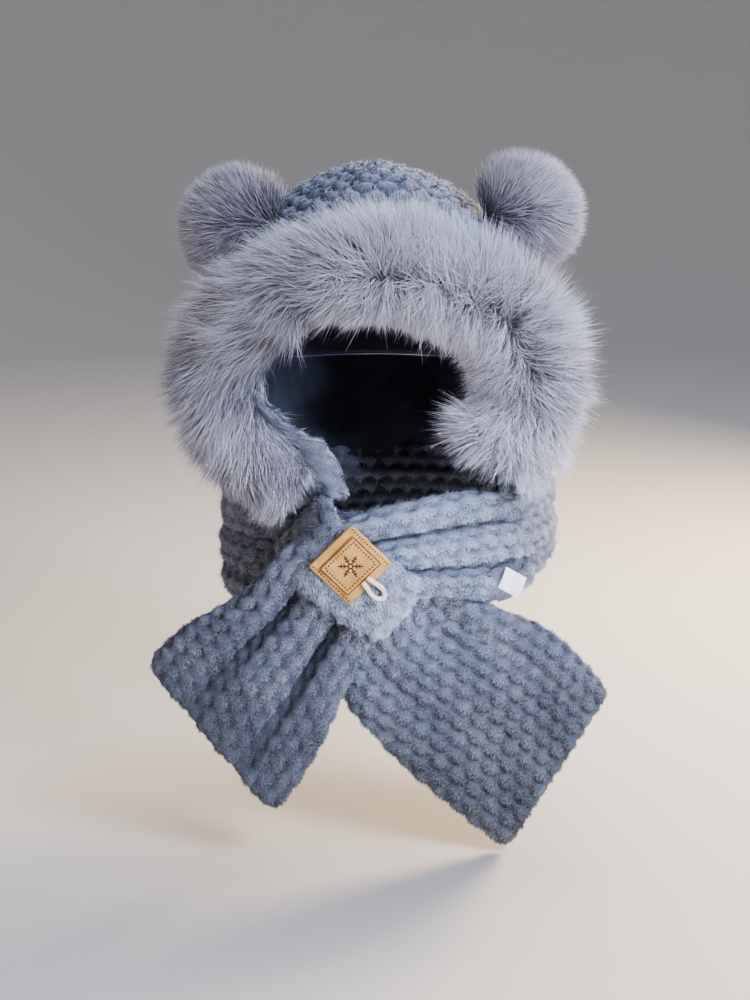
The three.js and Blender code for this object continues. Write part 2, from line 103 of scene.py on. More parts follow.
def mesh_piece(name, points, faces, material, uv=None, normals=None, smooth=True):
    """A mesh from points in mm and faces of equal size, with a corner map and shading normals."""
    faces = np.asarray(faces, np.int32)
    mesh = bpy.data.meshes.new(name)
    mesh.vertices.add(len(points))
    mesh.vertices.foreach_set("co", (np.asarray(points, np.float32) / 1000).ravel())
    mesh.loops.add(faces.size)
    mesh.loops.foreach_set("vertex_index", faces.ravel())
    mesh.polygons.add(len(faces))
    mesh.polygons.foreach_set("loop_start", np.arange(0, faces.size, faces.shape[1], dtype=np.int32))
    mesh.polygons.foreach_set("use_smooth", np.full(len(faces), smooth))
    mesh.update(calc_edges=True)
    if uv is not None:
        layer = mesh.uv_layers.new(name="OFBake")
        layer.data.foreach_set("uv", np.asarray(uv, np.float32)[faces.ravel()].ravel())
    if normals is not None:
        mesh.normals_split_custom_set_from_vertices(np.asarray(normals, np.float32))
    mesh.materials.append(material)
    piece = bpy.data.objects.new(name, mesh)
    bpy.context.scene.collection.objects.link(piece)
    return piece


def all_round(count):
    """Even turns round a full circle."""
    return np.linspace(0, 2 * math.pi, count, endpoint=False)


def grid_faces(rows, columns, around=False):
    """The quads of a grid of points, whose last column may close on its first."""
    row, column = np.meshgrid(np.arange(rows - 1), np.arange(columns - (not around)), indexing="ij")
    row, column = row.ravel(), column.ravel()
    after = (column + 1) % columns
    low, high = row * columns, (row + 1) * columns
    return np.stack([low + column, low + after, high + after, high + column], axis=1)


def tube_piece(name, points, material, uv=None):
    """A piece from a grid of points whose last column closes on its first."""
    return mesh_piece(name, points.reshape(-1, 3), grid_faces(*points.shape[:2], around=True), material, uv)


FLOOR_DROP, FLOOR_RADIUS, SWEEP_RADIUS = 4, 2300, 1500  # mm
floor_z = solid_box[0].z * 1000 - FLOOR_DROP
rim_turn = np.radians(np.linspace(0, 90, 24))
sweep = zip(FLOOR_RADIUS + SWEEP_RADIUS * np.sin(rim_turn), SWEEP_RADIUS * (1 - np.cos(rim_turn)))
floor_profile = [(0.001, 0), (1200, 0), *sweep]
floor_turn = np.radians(np.arange(0, 360, 3.75))
floor_points = np.array([
    [(r * math.cos(a), r * math.sin(a), floor_z + h) for a in floor_turn] for r, h in floor_profile
])
painted, tree = new_material("painted_board")
board = add(tree, "BsdfPrincipled", Base_Color=linear("#d9d5cf"), Roughness=0.85)
add(tree, "OutputMaterial", Surface=board)
tube_piece("studio_floor", floor_points, painted)

camera = bpy.data.objects.new("camera", bpy.data.cameras.new("camera"))
bpy.context.scene.collection.objects.link(camera)
camera.data.sensor_width = 36
camera.data.lens = camera.data.sensor_width * FOCAL_PX / LONG_SIDE_PX
camera.location = VIEW_TARGET + VIEW_DISTANCE * Vector((0, -math.cos(VIEW_DOWN), math.sin(VIEW_DOWN)))
camera.rotation_euler = (math.pi / 2 - VIEW_DOWN, 0, 0)
bpy.context.scene.camera = camera

# name, place and aim in metres, size, how wide it spreads in degrees, power in watts, colour
softboxes = [
    ("window", (0.72, -0.85, 0.55), (0, 0, -0.17), 0.45, 180, 17, "#dfe8ff"),
    ("gridded", (0.75, -1.2, -0.05), (0.055, -0.13, -0.265), 0.2, 14, 0.3, "#e6edff"),
    ("room", (-1.5, -1.2, 0.0), (0, 0, -0.2), 1.5, 180, 5.5, "#ffdcb8"),
    ("sky", (0.1, 0.35, 1.3), (0, 0, -0.17), 0.9, 180, 16, "#e6edff"),
    ("edge", (0.95, 0.75, 0.25), (0.1, 0, -0.17), 0.5, 180, 36, "#ffe2c0"),
]
for name, place, aim, size, spread, power, colour in softboxes:
    light = bpy.data.objects.new(name, bpy.data.lights.new(name, "AREA"))
    light.data.size, light.data.energy, light.data.color = size, power, linear(colour)[:3]
    light.data.spread = math.radians(spread)
    light.location = place
    light.rotation_euler = (Vector(place) - Vector(aim)).to_track_quat("Z", "Y").to_euler()
    bpy.context.scene.collection.objects.link(light)
world = bpy.data.worlds.new("studio_air")
world.use_nodes = True
world.node_tree.nodes["Background"].inputs[0].default_value = linear("#dfe6f4")
world.node_tree.nodes["Background"].inputs[1].default_value = 0.3
bpy.context.scene.world = world
bpy.context.scene.view_settings.look = "AgX - Medium High Contrast"

# ---- The hood
# The hood is a chunky hand knit of plush yarn, worked in rounds from the crown to the neck. Each
# loop stands out as a soft bump, and the cut pile of the yarn makes its surface fuzzy.
# the hood's heights, its half width and depths where it is widest and at the neck, all in mm
CROWN_TOP, WIDEST_Z, NECK_Z, HOOD_END_Z = 12.0, -148.0, -285.0, -297.0
HOOD_Y, HOOD_HALF, HOOD_FRONT, HOOD_BACK = 15.0, 145.0, 118.0, 115.0
NECK_X, NECK_HALF, NECK_FRONT, NECK_BACK = 11.0, 131.0, 105.0, 100.0
HOOD_INSIDE = np.array([0, HOOD_Y, -150])
HOOD_WALL = 9.7
HOOD_LOOP = (16.5, 13.0)  # a bump's width round the hood and its height, mm
HOOD_RELIEF = 7.2
FACE_HALF_WIDTH, FACE_TOP_Z, FACE_WIDEST_Z = 118.0, -62.0, -147.0
# heights on the face opening's sides, and how far from the middle they are there
FACE_LEFT = ((-400, -228, -215, -200, -185, -165, -147), (62, 62, 82, 98, 108, 116, 118))
FACE_RIGHT = ((-400, -208, -195, -175, -147), (98, 98, 109, 116, 118))
SEEN = np.array([1, 0, 1])  # leaves of a direction what is seen from the front
rng = np.random.default_rng(7)


def smooth(share):
    return share * share * (3 - 2 * share)


def mix(a, b, share):
    return a + (b - a) * share


def rounded(share, squareness):
    """How wide a rounded form still is at a share of its rise."""
    return np.maximum(1 - np.abs(share) ** squareness, 0) ** (1 / squareness)


def unit(vectors):
    return vectors / np.maximum(np.linalg.norm(vectors, axis=-1, keepdims=True), 1e-9)


def fraction(values):
    """A number from 0 to 1 that looks random, the same each time for the same value."""
    return np.abs(np.sin(values * 12.9898) * 43758.5453) % 1


def hood_ring(z, inset):
    """The hood's plan at a height: centre x, half width, front depth, back depth, squareness."""
    half, front, back = HOOD_HALF - inset, HOOD_FRONT - inset, HOOD_BACK - inset
    rise = np.clip((z - WIDEST_Z) / (CROWN_TOP - inset - WIDEST_Z), 0, 1)
    fall = smooth(np.clip((WIDEST_Z - z) / (WIDEST_Z - NECK_Z), 0, 1))
    to_neck = HOOD_WALL / 2 - inset
    above = z >= WIDEST_Z
    return (
        np.where(above, 0, NECK_X * fall),
        np.where(above, half * rounded(rise, 1.8), mix(half, NECK_HALF + to_neck, fall)),
        np.where(above, front * rounded(rise, 2.6), mix(front, NECK_FRONT + to_neck, fall)),
        np.where(above, back * rounded(rise, 2.0), mix(back, NECK_BACK + to_neck, fall)),
        np.where(above, mix(3.4, 2, rise), mix(3.4, 2.2, fall)),
    )


def hood_surface(z, turn, inset):
    """Points of the hood at heights and at turns round it, 0 being the wearer's left side."""
    x, half, front, back, squareness = hood_ring(z, inset)
    cos, sin = np.cos(turn), np.sin(turn)
    depth = np.maximum(np.where(sin < 0, front, back), 1e-3)
    squareness = np.where(sin < 0, squareness, 2.2)
    reach = np.abs(cos / np.maximum(half, 1e-3)) ** squareness + np.abs(sin / depth) ** squareness
    reach = reach ** (-1 / squareness)
    return np.stack(np.broadcast_arrays(x + reach * cos, HOOD_Y + reach * sin, z), axis=-1)


def hood_front_y(x, z, inset):
    """The y of the hood's front at a place seen from the front."""
    centre, half, front, _, squareness = hood_ring(z, inset)
    return HOOD_Y - front * rounded(np.minimum(1, np.abs(x - centre) / half), squareness)


def bend(points, t):
    """A cubic curve with four control points."""
    a, b, c, d = (np.array(point, float) for point in points)
    return a * (1 - t) ** 3 + 3 * b * (1 - t) ** 2 * t + 3 * c * (1 - t) * t**2 + d * t**3


def face_outline():
    """The face opening's edge seen from the front, x and z, from the lower left round the top."""
    t = np.linspace(0, 1, 60)[:, None]
    wide, top, side = FACE_HALF_WIDTH, FACE_TOP_Z, FACE_WIDEST_Z
    left = bend([(-62, -228), (-98.4, -211.8), (-wide, -175.4), (-wide, side)], t)
    turn = np.linspace(math.pi, 0, 160)[1:-1]
    arch = np.stack([wide * np.cos(turn), side + (top - side) * np.sin(turn)], axis=1)
    right = bend([(wide, side), (wide, -168.4), (111, -195.8), (98, -208)], t)
    return np.vstack([left, arch, right])


def lengths(line):
    """How far along a line each of its points is."""
    return np.concatenate([[0], np.cumsum(np.linalg.norm(np.diff(line, axis=0), axis=1))])


def on_line(at, places, line):
    """Points of a line where it is at, each of its points being at one of places."""
    return np.stack([np.interp(at, places, line[:, k]) for k in range(line.shape[1])], axis=-1)


def even(line, at):
    """Points at shares of a line's length."""
    length = lengths(line)
    return on_line(np.asarray(at) * length[-1], length, line)


FACE = face_outline()
profile_z = CROWN_TOP - (CROWN_TOP - HOOD_END_Z) * np.linspace(0, 1, 600) ** 2
hood_profile = hood_surface(profile_z, np.full(600, math.radians(60)), 0)
HOOD_ROWS, HOOD_COLUMNS = 160, 264
hood_z = even(hood_profile, np.linspace(0.004, 1, HOOD_ROWS))[:, 2]
hood_turn = all_round(HOOD_COLUMNS)
hood_points = hood_surface(hood_z[:, None], hood_turn, 0)


def outward_normals(points, inside):
    """Shading directions of a closed grid that point away from what lies inside it."""
    across = (np.roll(points, -1, axis=1) - np.roll(points, 1, axis=1)) / 2
    normals = unit(np.cross(across, np.gradient(points, axis=0)))
    return normals * np.sign(np.sum(normals * (points - inside), axis=-1, keepdims=True) + 1e-9)


def raised(points, inside, rise):
    """A closed grid with its loops raised on it, and its shading directions then."""
    relief = points + outward_normals(points, inside) * rise[..., None]
    return relief, outward_normals(relief, inside)


def loop_height(place_in, column_at, side_gap=0.1):
    """How high soft plush loops stand, 0 to 1. They lie in columns, half a loop apart, and the
    round end of each lies over the column below, with a low crease under it, which the tone made
    from this height paints dark as painted shade."""
    heights = []
    for column in (np.floor(column_at) + 1, np.floor(column_at)):
        place = place_in(column) + column % 2 / 2
        off = (place % 1 - 0.5) * 2
        into = column_at - column + 0.4 * (1 - off**2)
        start = 0.22 + 0.5 * off**2
        full = start + (1 - start) * np.clip(into / 0.42, 0, 1) ** 0.6
        size = 0.88 + 0.12 * fraction(column * 5.3 + np.floor(place) * 2.9)
        full = full * (1 - side_gap * off**4) * (1 - 0.2 * np.clip(into - 0.6, 0, 1))
        heights.append((full * size, into, off))
    (over, into_over, off_over), (under, _, _) = heights
    crease = 1 - 0.92 * np.sqrt(np.maximum(1 - off_over**2, 0)) * np.exp(np.minimum(into_over, 0) / 0.2)
    return np.where(into_over > 0, over, under * crease)


# The rounds of bumps: each holds as many as fit, half a bump on from the one before.
hood_down = np.concatenate([[0], np.cumsum(np.linalg.norm(np.diff(hood_points, axis=0), axis=-1).mean(1))])
hood_girth = np.linalg.norm(np.diff(hood_points, axis=1), axis=-1).sum(1)


def bumps_in_round(column):
    girth = np.interp(-column * HOOD_LOOP[1], hood_down, hood_girth)
    return hood_turn / (2 * math.pi) * np.maximum(4, np.round(girth / HOOD_LOOP[0]))


hood_height = loop_height(bumps_in_round, -hood_down[:, None] / HOOD_LOOP[1], side_gap=0.5)
hood_relief, hood_relief_out = raised(hood_points, HOOD_INSIDE, (hood_height - 0.4) * HOOD_RELIEF)


def in_face(x, y, z, grow=0):
    """Where a point lies inside the face opening, seen from the front."""
    left, right = np.interp(z, *FACE_LEFT), np.interp(z, *FACE_RIGHT)
    wide, high = FACE_HALF_WIDTH + grow, FACE_TOP_Z - FACE_WIDEST_Z + grow
    arch = (x / wide) ** 2 + ((z - FACE_WIDEST_Z) / high) ** 2 < 1
    inside = np.where(z > FACE_WIDEST_Z, arch, (x > -left - grow) & (x < right + grow))
    return inside & (y < HOOD_Y)


def shell_piece(name, points, material, uv=None):
    """A grid piece closed round the hood, without the faces that lie in the face opening."""
    faces = grid_faces(*points.shape[:2], around=True)
    flat = points.reshape(-1, 3)
    middle = flat[faces].mean(axis=1)
    faces = faces[~in_face(*middle.T)]
    return mesh_piece(name, flat, faces, material, uv)


# Cut plush yarn: matt, with a soft bright rim where its pile stands against the light. Clumps of
# pile 3 mm wide differ a little in tone, and the creases between the loops are painted dark, as
# painted shade.
def plush_material(name, dark, middle, light):
    material, tree = new_material(name)
    place = add(tree, "TexCoord").outputs["Object"]
    clumps = add(tree, "TexNoise", Vector=place, Scale=330, Detail=3, Roughness=0.6)
    fibres = add(tree, "TexNoise", Vector=place, Scale=1400, Detail=2, Roughness=0.7)
    map_node = add(tree, "UVMap", {"uv_map": "OFBake"})
    depth = add(tree, "SeparateXYZ", Vector=map_node)
    tone = add(tree, "Math", {"operation": "MULTIPLY"}, in0=clumps, in1=0.4)
    tone = add(tree, "Math", {"operation": "ADD"}, in0=tone, in1=depth.outputs["X"])
    stops = [(0.12, dark), (0.6, middle), (0.95, light)]
    ramp = add(tree, "ValToRGB", {"stops": stops}, in0=tone)
    bump = add(tree, "Bump", Height=fibres, Strength=0.5, Distance=0.001)
    plush = add(
        tree, "BsdfPrincipled", Base_Color=ramp, Roughness=0.95, Sheen_Weight=0.25,
        Sheen_Roughness=0.5, Sheen_Tint=linear("#cdd8f2"), Normal=bump,
    )
    add(tree, "OutputMaterial", Surface=plush)
    return material


def knit_map(height, gain, lift=0.0):
    """The corner map of a knit, whose first number is the tone that its loops' height gives: painted shade,
    darkest in the creases.
    """
    return np.stack([height * gain + lift, height], axis=-1).reshape(-1, 2)


knit_plush = plush_material("cut_plush_yarn", "#23262f", "#6a7182", "#959dae")
hood_knit = shell_piece("hood_knit", hood_relief, knit_plush, knit_map(hood_height, 0.75))


# A fibre of pile or fur: its tone and the way from its root to its tip come with it, so that each
# one is dark in the depth and light at its tip.
def fibre_material(name, roots, middle, tips, roughness, sheen):
    material, tree = new_material(name)
    map_node = add(tree, "UVMap", {"uv_map": "OFBake"})
    way = add(tree, "SeparateXYZ", Vector=map_node)
    gain = {"operation": "MULTIPLY_ADD"}
    tone = add(tree, "Math", gain, in0=way.outputs["X"], in1=0.85, in2=-0.42)
    along = add(tree, "Math", {"operation": "ADD"}, in0=way.outputs["Y"], in1=tone)
    stops = [(0.0, roots), (0.5, middle), (1.0, tips)]
    ramp = add(tree, "ValToRGB", {"stops": stops}, in0=along)
    fibre = add(
        tree, "BsdfPrincipled", Base_Color=ramp, Roughness=roughness,
        Sheen_Weight=sheen, Sheen_Tint=linear("#e6e9f5"),
    )
    add(tree, "OutputMaterial", Surface=fibre)
    return material


def fibre_piece(name, curves, widths, facing, tone, material, even_light):
    """Flat fibres: curves holds the points of each from root to tip, and facing its broad side.
    even_light is how far their shading follows the surface that they grow on."""
    count, steps, _ = curves.shape
    run = unit(np.gradient(curves, axis=1))
    side = unit(np.cross(run, facing[:, None, :]))
    flat = unit(np.cross(side, run))
    half = widths[:, : steps - 1, None] / 2
    left = curves[:, :-1] - side[:, :-1] * half
    right = curves[:, :-1] + side[:, :-1] * half
    pairs = np.stack([left, right], axis=2).reshape(count, -1, 3)
    points = np.concatenate([pairs, curves[:, -1:]], axis=1)
    shade = np.stack([flat[:, :-1] - side[:, :-1] * 0.5, flat[:, :-1] + side[:, :-1] * 0.5], axis=2)
    shade = np.concatenate([shade.reshape(count, -1, 3), flat[:, -1:]], axis=1)
    shade = unit(unit(shade) * (1 - even_light) + facing[:, None, :] * even_light)
    per = points.shape[1]
    share = np.repeat(np.linspace(0, 1, steps)[:-1], 2)
    uv = np.empty((count, per, 2))
    uv[..., 0] = tone[:, None]
    uv[..., 1] = np.append(share, 1)
    corners = [
        (2 * k, 2 * k + 1, 2 * k + 3) if part == 0 else (2 * k, 2 * k + 3, 2 * k + 2)
        for k in range(steps - 2)
        for part in (0, 1)
    ]
    corners.append((per - 3, per - 2, per - 1))
    faces = (np.arange(count)[:, None, None] * per + np.array(corners)[None]).reshape(-1, 3)
    return mesh_piece(name, points.reshape(-1, 3), faces, material, uv.reshape(-1, 2), shade.reshape(-1, 3))


# Three sets of directions for a field that wavers smoothly from place to place.
WAVER = np.array([
    [[0.8, 0.3, 0.5], [-0.4, 0.5, 0.75]],
    [[-0.3, 0.7, 0.65], [0.85, 0.2, -0.45]],
    [[0.55, -0.35, 0.75], [0.35, 0.8, 0.45]],
])


def waver(points, size):
    """Three numbers from -1 to 1 at each point, which change over about size mm."""
    waves = np.sin(np.einsum("nk,abk->nab", points / size, WAVER) + np.arange(6).reshape(3, 2) * 1.7)
    return waves.prod(axis=2) * 1.3


def pile_piece(name, points, out, lie, height, amount, weight, reach, width):
    """Cut pile over a closed grid of points: short pointed fibres, combed the way that lie says."""
    faces = grid_faces(*points.shape[:2], around=True)
    lie = np.broadcast_to(lie, points.shape)
    flat, normal, combing = (grid.reshape(-1, 3) for grid in (points, out, lie))
    rise = height.reshape(-1, 1)
    corner = flat[faces]
    area = np.linalg.norm(np.cross(corner[:, 2] - corner[:, 0], corner[:, 3] - corner[:, 1]), axis=1) / 2
    share = area * weight(corner.mean(axis=1), normal[faces].mean(axis=1))
    share = share * mix(0.25, 1, rise[faces, 0].mean(axis=1))
    four = faces[rng.choice(len(faces), amount, p=share / share.sum())]
    u, v = rng.random((2, amount, 1))
    blend = [(1 - u) * (1 - v), u * (1 - v), u * v, (1 - u) * v]
    root, up, comb, high = (
        sum(b * grid[four[:, k]] for k, b in enumerate(blend)) for grid in (flat, normal, combing, rise)
    )
    up, high = unit(up), high[:, 0]
    comb = unit(comb - up * np.sum(comb * up, axis=1, keepdims=True))
    way = unit(up * 0.5 + comb * 0.8 + waver(root, 5) * 0.22 + rng.normal(0, 0.17, (amount, 3)))
    length = mix(reach[0], reach[1], high) * rng.uniform(0.6, 1.15, amount)
    curves = np.stack([root - up * 0.6, root + way * length[:, None]], axis=1)
    widths = np.full((amount, 2), width) * rng.uniform(0.7, 1.2, (amount, 1))
    brushed = waver(root, 17)[:, 0] * 0.09 + waver(root, 4)[:, 1] * 0.07
    # painted shade: the tone follows the loops' height, so the pile is darker in the creases
    tone = np.clip(-0.14 + 0.82 * high + brushed + rng.normal(0, 0.09, amount), 0, 1)
    facing = unit(up + rng.normal(0, 0.12, (amount, 3)))
    return fibre_piece(name, curves, widths, facing, tone, plush_pile, 0.8)


plush_pile = fibre_material("cut_pile_fibre", "#2d313d", "#7b8394", "#c0c6d5", 0.85, 0.2)


def hood_weight(middle, normal):
    shown = ~in_face(*middle.T, grow=4)
    return shown * np.where((middle[:, 2] > -70) & (middle[:, 1] < 70), 3.0, 0.8)


hood_shade = np.clip(hood_height * 1.3 - 0.3, 0, 1)
hood_pile = pile_piece(
    "hood_pile", hood_relief, hood_relief_out, [0, 0, -1.0], hood_shade, 46000, hood_weight, (1.8, 4.8), 1.15
)
for piece in (hood_knit, hood_pile):
    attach(piece, "root")
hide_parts("hood_shell")

# ---- The lining
# The hood is lined with a smooth, darker short plush, which shows in the face opening. It hangs
# close to the knit and is caught down along the neck and the face edge.
LINING_INSET = 12.0
lining_z = even(hood_profile, np.linspace(0.03, 1, 60))[:, 2] - LINING_INSET
lining_z = np.clip(lining_z, HOOD_END_Z, -0.5)[:, None]
lining_turn = all_round(140)
lining_points = hood_surface(lining_z, lining_turn, LINING_INSET)
slack = 1.6 * np.sin(lining_turn * 5 + lining_z / 38) + 1.1 * np.sin(lining_turn * 9 - lining_z / 23)
lining_points[..., :2] *= (1 - np.clip(slack + 1.5, 0, 4) / 150)[..., None]


def grained_material(name, stops, noise, bump=None, grain=None, **look):
    """A material whose colour follows a noise. Its bump, of a strength and a height in metres,
    follows that noise too, or a grain: the texture's kind, output, settings and links."""
    material, tree = new_material(name)
    place = add(tree, "TexCoord").outputs["Object"]
    tone = add(tree, "TexNoise", Vector=place, **noise)
    ramp = add(tree, "ValToRGB", {"stops": stops}, in0=tone)
    if bump:
        height = tone
        if grain:
            kind, output, settings, links = grain
            height = add(tree, kind, settings, Vector=place, **links).outputs[output]
        look["Normal"] = add(tree, "Bump", Height=height, Strength=bump[0], Distance=bump[1])
    surface = add(tree, "BsdfPrincipled", Base_Color=ramp, **look)
    add(tree, "OutputMaterial", Surface=surface)
    return material


# Brushed patches make the nap a little lighter and darker, with a faint blue shine.
short_plush = grained_material(
    "short_plush_lining", [(0.3, "#262b38"), (0.7, "#414a5d")], {"Scale": 28, "Detail": 4, "Roughness": 0.55},
    (0.5, 0.0006), ("TexNoise", "Fac", None, {"Scale": 900, "Detail": 3, "Roughness": 0.6}),
    Roughness=0.9, Sheen_Weight=0.3, Sheen_Tint=linear("#8d9ab6"),
)
lining = shell_piece("lining_plush", lining_points, short_plush)
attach(lining, "root")
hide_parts("hood_lining")

# ---- The scarf
# One long band, knitted of the same plush yarn in plaited columns along its length and sewn to the
# neck edge. It is gathered into pleats where it crosses in front and passes through the keeper.
BAND_WIDTH, BAND_THICKNESS = 165.0, 18.0
LEFT_CORNER, RIGHT_CORNER = 17.0, 9.0  # the ends' round corners
CROSSING_X, CROSSING_Z, BACK_DROP = -22.0, -288.0, 12.0
SCARF_LOOP = (17.0, 12.0)  # a plaited loop's length along the band and its width, mm
SCARF_RELIEF = 5.8
PLEAT_COUNT, CROSSING_PLEAT = 2.5, 0.28
# the ends' angle seen from the front, their length, and their depth at the crossing and at the tip
LEFT_ANGLE, LEFT_LENGTH, LEFT_Y, LEFT_TIP_Y = 232.8, 183.0, -131.0, -124.0
RIGHT_ANGLE, RIGHT_LENGTH, RIGHT_Y, RIGHT_TIP_Y = -44.5, 241.0, -103.0, -104.0
GAP = 0.3  # between pieces that lie on each other, mm

# where the section is, width and drop as shares of the band's width, pleat and ahead as shares of
# its thickness, and the lean of its long side in degrees
band_sections = [
    ("left end", 1, 1, 0, 0.08, 127, 0),
    ("left end", 0.66, 0.86, 0, 0.2, 135, 0),
    ("left end", 0.32, 0.62, 0, 0.3, 145, 0),
    ("left end", 0, 0.52, 0, CROSSING_PLEAT, 143, 0),
    ("neck", -64, 0.54, -0.05, 0.28, 116, 0),
    ("neck", -36, 0.49, -0.02, 0.16, 98, 0),
    ("neck", -4, 0.52, 0.01, 0.1, 90, 0),
    ("neck", 42, 0.5, 0, 0.05, 90, 0),
    ("neck", 90, 0.49, 0, 0.05, 90, 0),
    ("neck", 138, 0.5, 0.03, 0.05, 90, 0),
    ("neck", 184, 0.5, 0.1, 0.12, 90, 0),
    ("neck", 214, 0.52, 0.09, 0.15, 84, 0),
    ("neck", 240, 0.56, 0.07, 0.1, 68, 0),
    ("right end", 0, 0.64, 0, 0.05, 52, 0),
    ("right end", 0.3, 0.82, 0.09, 0.05, 46, 0.05),
    ("right end", 0.64, 0.98, 0.01, 0.03, 49, 0.22),
    ("right end", 1, 0.96, 0, 0, 60, 0),
]


def neck_place(turn):
    """The middle of the band on its way round the neck."""
    cos, sin = math.cos(math.radians(turn)), math.sin(math.radians(turn))
    squareness = 2.2 if sin > 0 else 2
    depth = NECK_BACK if sin > 0 else (132 if turn < 90 else 118)
    return np.array([
        NECK_X + NECK_HALF * math.copysign(abs(cos) ** (2 / squareness), cos),
        HOOD_Y + depth * math.copysign(abs(sin) ** (2 / squareness), sin),
        NECK_Z,
    ])


def end_place(at, angle, length, y, z):
    """The middle of the band on one of its hanging ends."""
    turn = math.radians(angle)
    return np.array([CROSSING_X + math.cos(turn) * length * at, y, z + math.sin(turn) * length * at])


def section_place(row):
    """The middle of a section."""
    part, at, drop, ahead = row[0], row[1], row[3], row[6]
    if part == "neck":
        place = neck_place(at)
    elif part == "left end":
        place = end_place(at, LEFT_ANGLE, LEFT_LENGTH, mix(LEFT_Y, LEFT_TIP_Y, smooth(at)), CROSSING_Z)
    else:
        depth = mix(RIGHT_Y, RIGHT_TIP_Y, at)
        place = end_place(at, RIGHT_ANGLE, RIGHT_LENGTH, depth, CROSSING_Z - BACK_DROP)
    return place - [0, ahead * BAND_THICKNESS, drop * BAND_WIDTH]


def through_points(points, t):
    """A smooth line through points that doesn't overshoot where they lie close together."""
    points = np.array(points, float)
    full = np.vstack([2 * points[0] - points[1], points, 2 * points[-1] - points[-2]])
    at = np.clip(t, 0, 1) * (len(points) - 1)
    i = np.minimum(at.astype(int), len(points) - 2)
    w = (at - i)[:, None]
    a, b, c, d = (full[i + k] for k in range(4))
    before, here, after = (
        np.maximum(np.sum((q - p) ** 2, axis=1) ** 0.25, 1e-4)[:, None] for p, q in ((a, b), (b, c), (c, d))
    )
    start = ((b - a) / before - (c - a) / (before + here) + (c - b) / here) * here
    end = ((c - b) / here - (d - b) / (here + after) + (d - c) / after) * here
    return b + start * w + (-3 * b + 3 * c - 2 * start - end) * w**2 + (2 * b - 2 * c + start + end) * w**3


band_line = [section_place(row) for row in band_sections]
band_form = [(row[2], row[4], row[5] / 90) for row in band_sections]
fine = np.linspace(0, 1, 4000)
fine_line = through_points(band_line, fine)
band_length = lengths(fine_line)
BAND_ROWS, BAND_COLUMNS = 430, 112
band_along = np.linspace(0, band_length[-1], BAND_ROWS)
band_t = np.interp(band_along, band_length, fine)


def section_ring(half_width, half_thickness, squareness, columns, inner_step=1.0):
    """Places round a band's section: how far across they are, from -1 to 1, and their side, 1 being
    outside. A small inner_step leaves fewer of them for the inner side."""
    across = np.concatenate([np.linspace(-1, 1, 900), np.linspace(1, -1, 900)[1:]])
    side = np.concatenate([np.ones(900), -np.ones(899)])
    line = np.stack([across * half_width, side * half_thickness * rounded(across, squareness)], axis=1)
    step = np.linalg.norm(np.diff(line, axis=0), axis=1) * np.where(side[1:] > 0, 1, inner_step)
    along = np.concatenate([[0], np.cumsum(step)])
    at = np.interp(np.linspace(0, along[-1], columns, endpoint=False), along, np.arange(len(along)))
    return np.interp(at, np.arange(len(along)), across), np.where(at < 899.5, 1.0, -1.0)


BAND_SQUARENESS = 3.2
ring_across, ring_side = section_ring(62, BAND_THICKNESS / 2, BAND_SQUARENESS, BAND_COLUMNS, 0.45)
ring_full = rounded(ring_across, BAND_SQUARENESS)
middle_column = int(np.argmin(np.abs(ring_across) + (ring_side < 0)))


def band_frame(t):
    """Middle, long side, outwards direction and width, pleat of the band at shares of its line."""
    form = through_points(band_form, t)
    lean = np.radians(form[:, 2] * 90)
    side = np.stack([np.cos(lean), np.zeros_like(lean), np.sin(lean)], axis=1)
    forward = unit(through_points(band_line, t + 1e-4) - through_points(band_line, t - 1e-4))
    return through_points(band_line, t), side, unit(np.cross(forward, side)), form[:, 0], form[:, 1]


middle, side, outwards, width_share, pleat = band_frame(band_t)
from_end = np.minimum(band_along, band_along[-1] - band_along)
end_full = rounded(np.clip(1 - from_end / 7, 0, 1), 2.4)[:, None]
# A pleat's crest is broad and its valley narrow, because the fabric folds in on itself there.
to_valley = np.abs((ring_across * PLEAT_COUNT / 2) % 1 - 0.5)
fold = 1 - 2.9 * np.exp(-((to_valley / 0.15) ** 2))
half = BAND_THICKNESS / 2 * ring_full * mix(0.25, 1, end_full)
wave = fold * pleat[:, None] * ring_full * BAND_THICKNESS
# The lower right end's top edge is rolled over, with a crease below it that fades towards the tip.
crossing_row = [row[:2] for row in band_sections].index(("right end", 0))
crossing_along = np.interp(crossing_row / (len(band_sections) - 1), fine, band_length)
off_crossing = np.clip((band_along - crossing_along) / RIGHT_LENGTH, -1, 1)
rolled = smooth(np.clip(off_crossing / 0.15 + 0.6, 0, 1)) * (1 - 0.75 * smooth(np.clip(off_crossing, 0, 1)))
roll, crease = (np.exp(-(((ring_across - at) / wide) ** 2)) for at, wide in ((0.86, 0.13), (0.66, 0.06)))
wave = wave + rolled[:, None] * (4.5 * roll - 5.0 * crease)
# Its corners are round, as plush turned over at an end is.
corner_radius = np.where(band_along < band_along[-1] / 2, LEFT_CORNER, RIGHT_CORNER)
in_corner = np.clip(corner_radius - from_end, 0, corner_radius)
half_width = width_share * BAND_WIDTH / 2 - corner_radius + np.sqrt(corner_radius**2 - in_corner**2)
# The right strand's lower edge sags a little behind the lower right end's rolled edge, and rises
# towards the wearer's left side.
row_at = band_t * (len(band_sections) - 1)
sag = 9 * np.exp(-(((row_at - 4.35) / 0.45) ** 2)) - 15 * np.exp(-(((row_at - 5.75) / 0.6) ** 2))
low_edge = smooth(np.clip(-ring_across, 0, 1))
band_points = (
    middle[:, None]
    + side[:, None] * (ring_across * half_width[:, None] - sag[:, None] * low_edge)[..., None]
    + outwards[:, None] * (ring_side * half * end_full + wave)[..., None]
)
band_middle = middle[:, None] + side[:, None] * (ring_across * 0.9)[:, None] * (
    width_share * BAND_WIDTH / 2
)[:, None, None] + outwards[:, None] * wave[..., None]

round_step = np.linalg.norm(np.roll(band_points, -1, axis=1) - band_points, axis=-1)
band_across = np.cumsum(round_step, axis=1) - round_step
band_across -= band_across[:, middle_column : middle_column + 1]


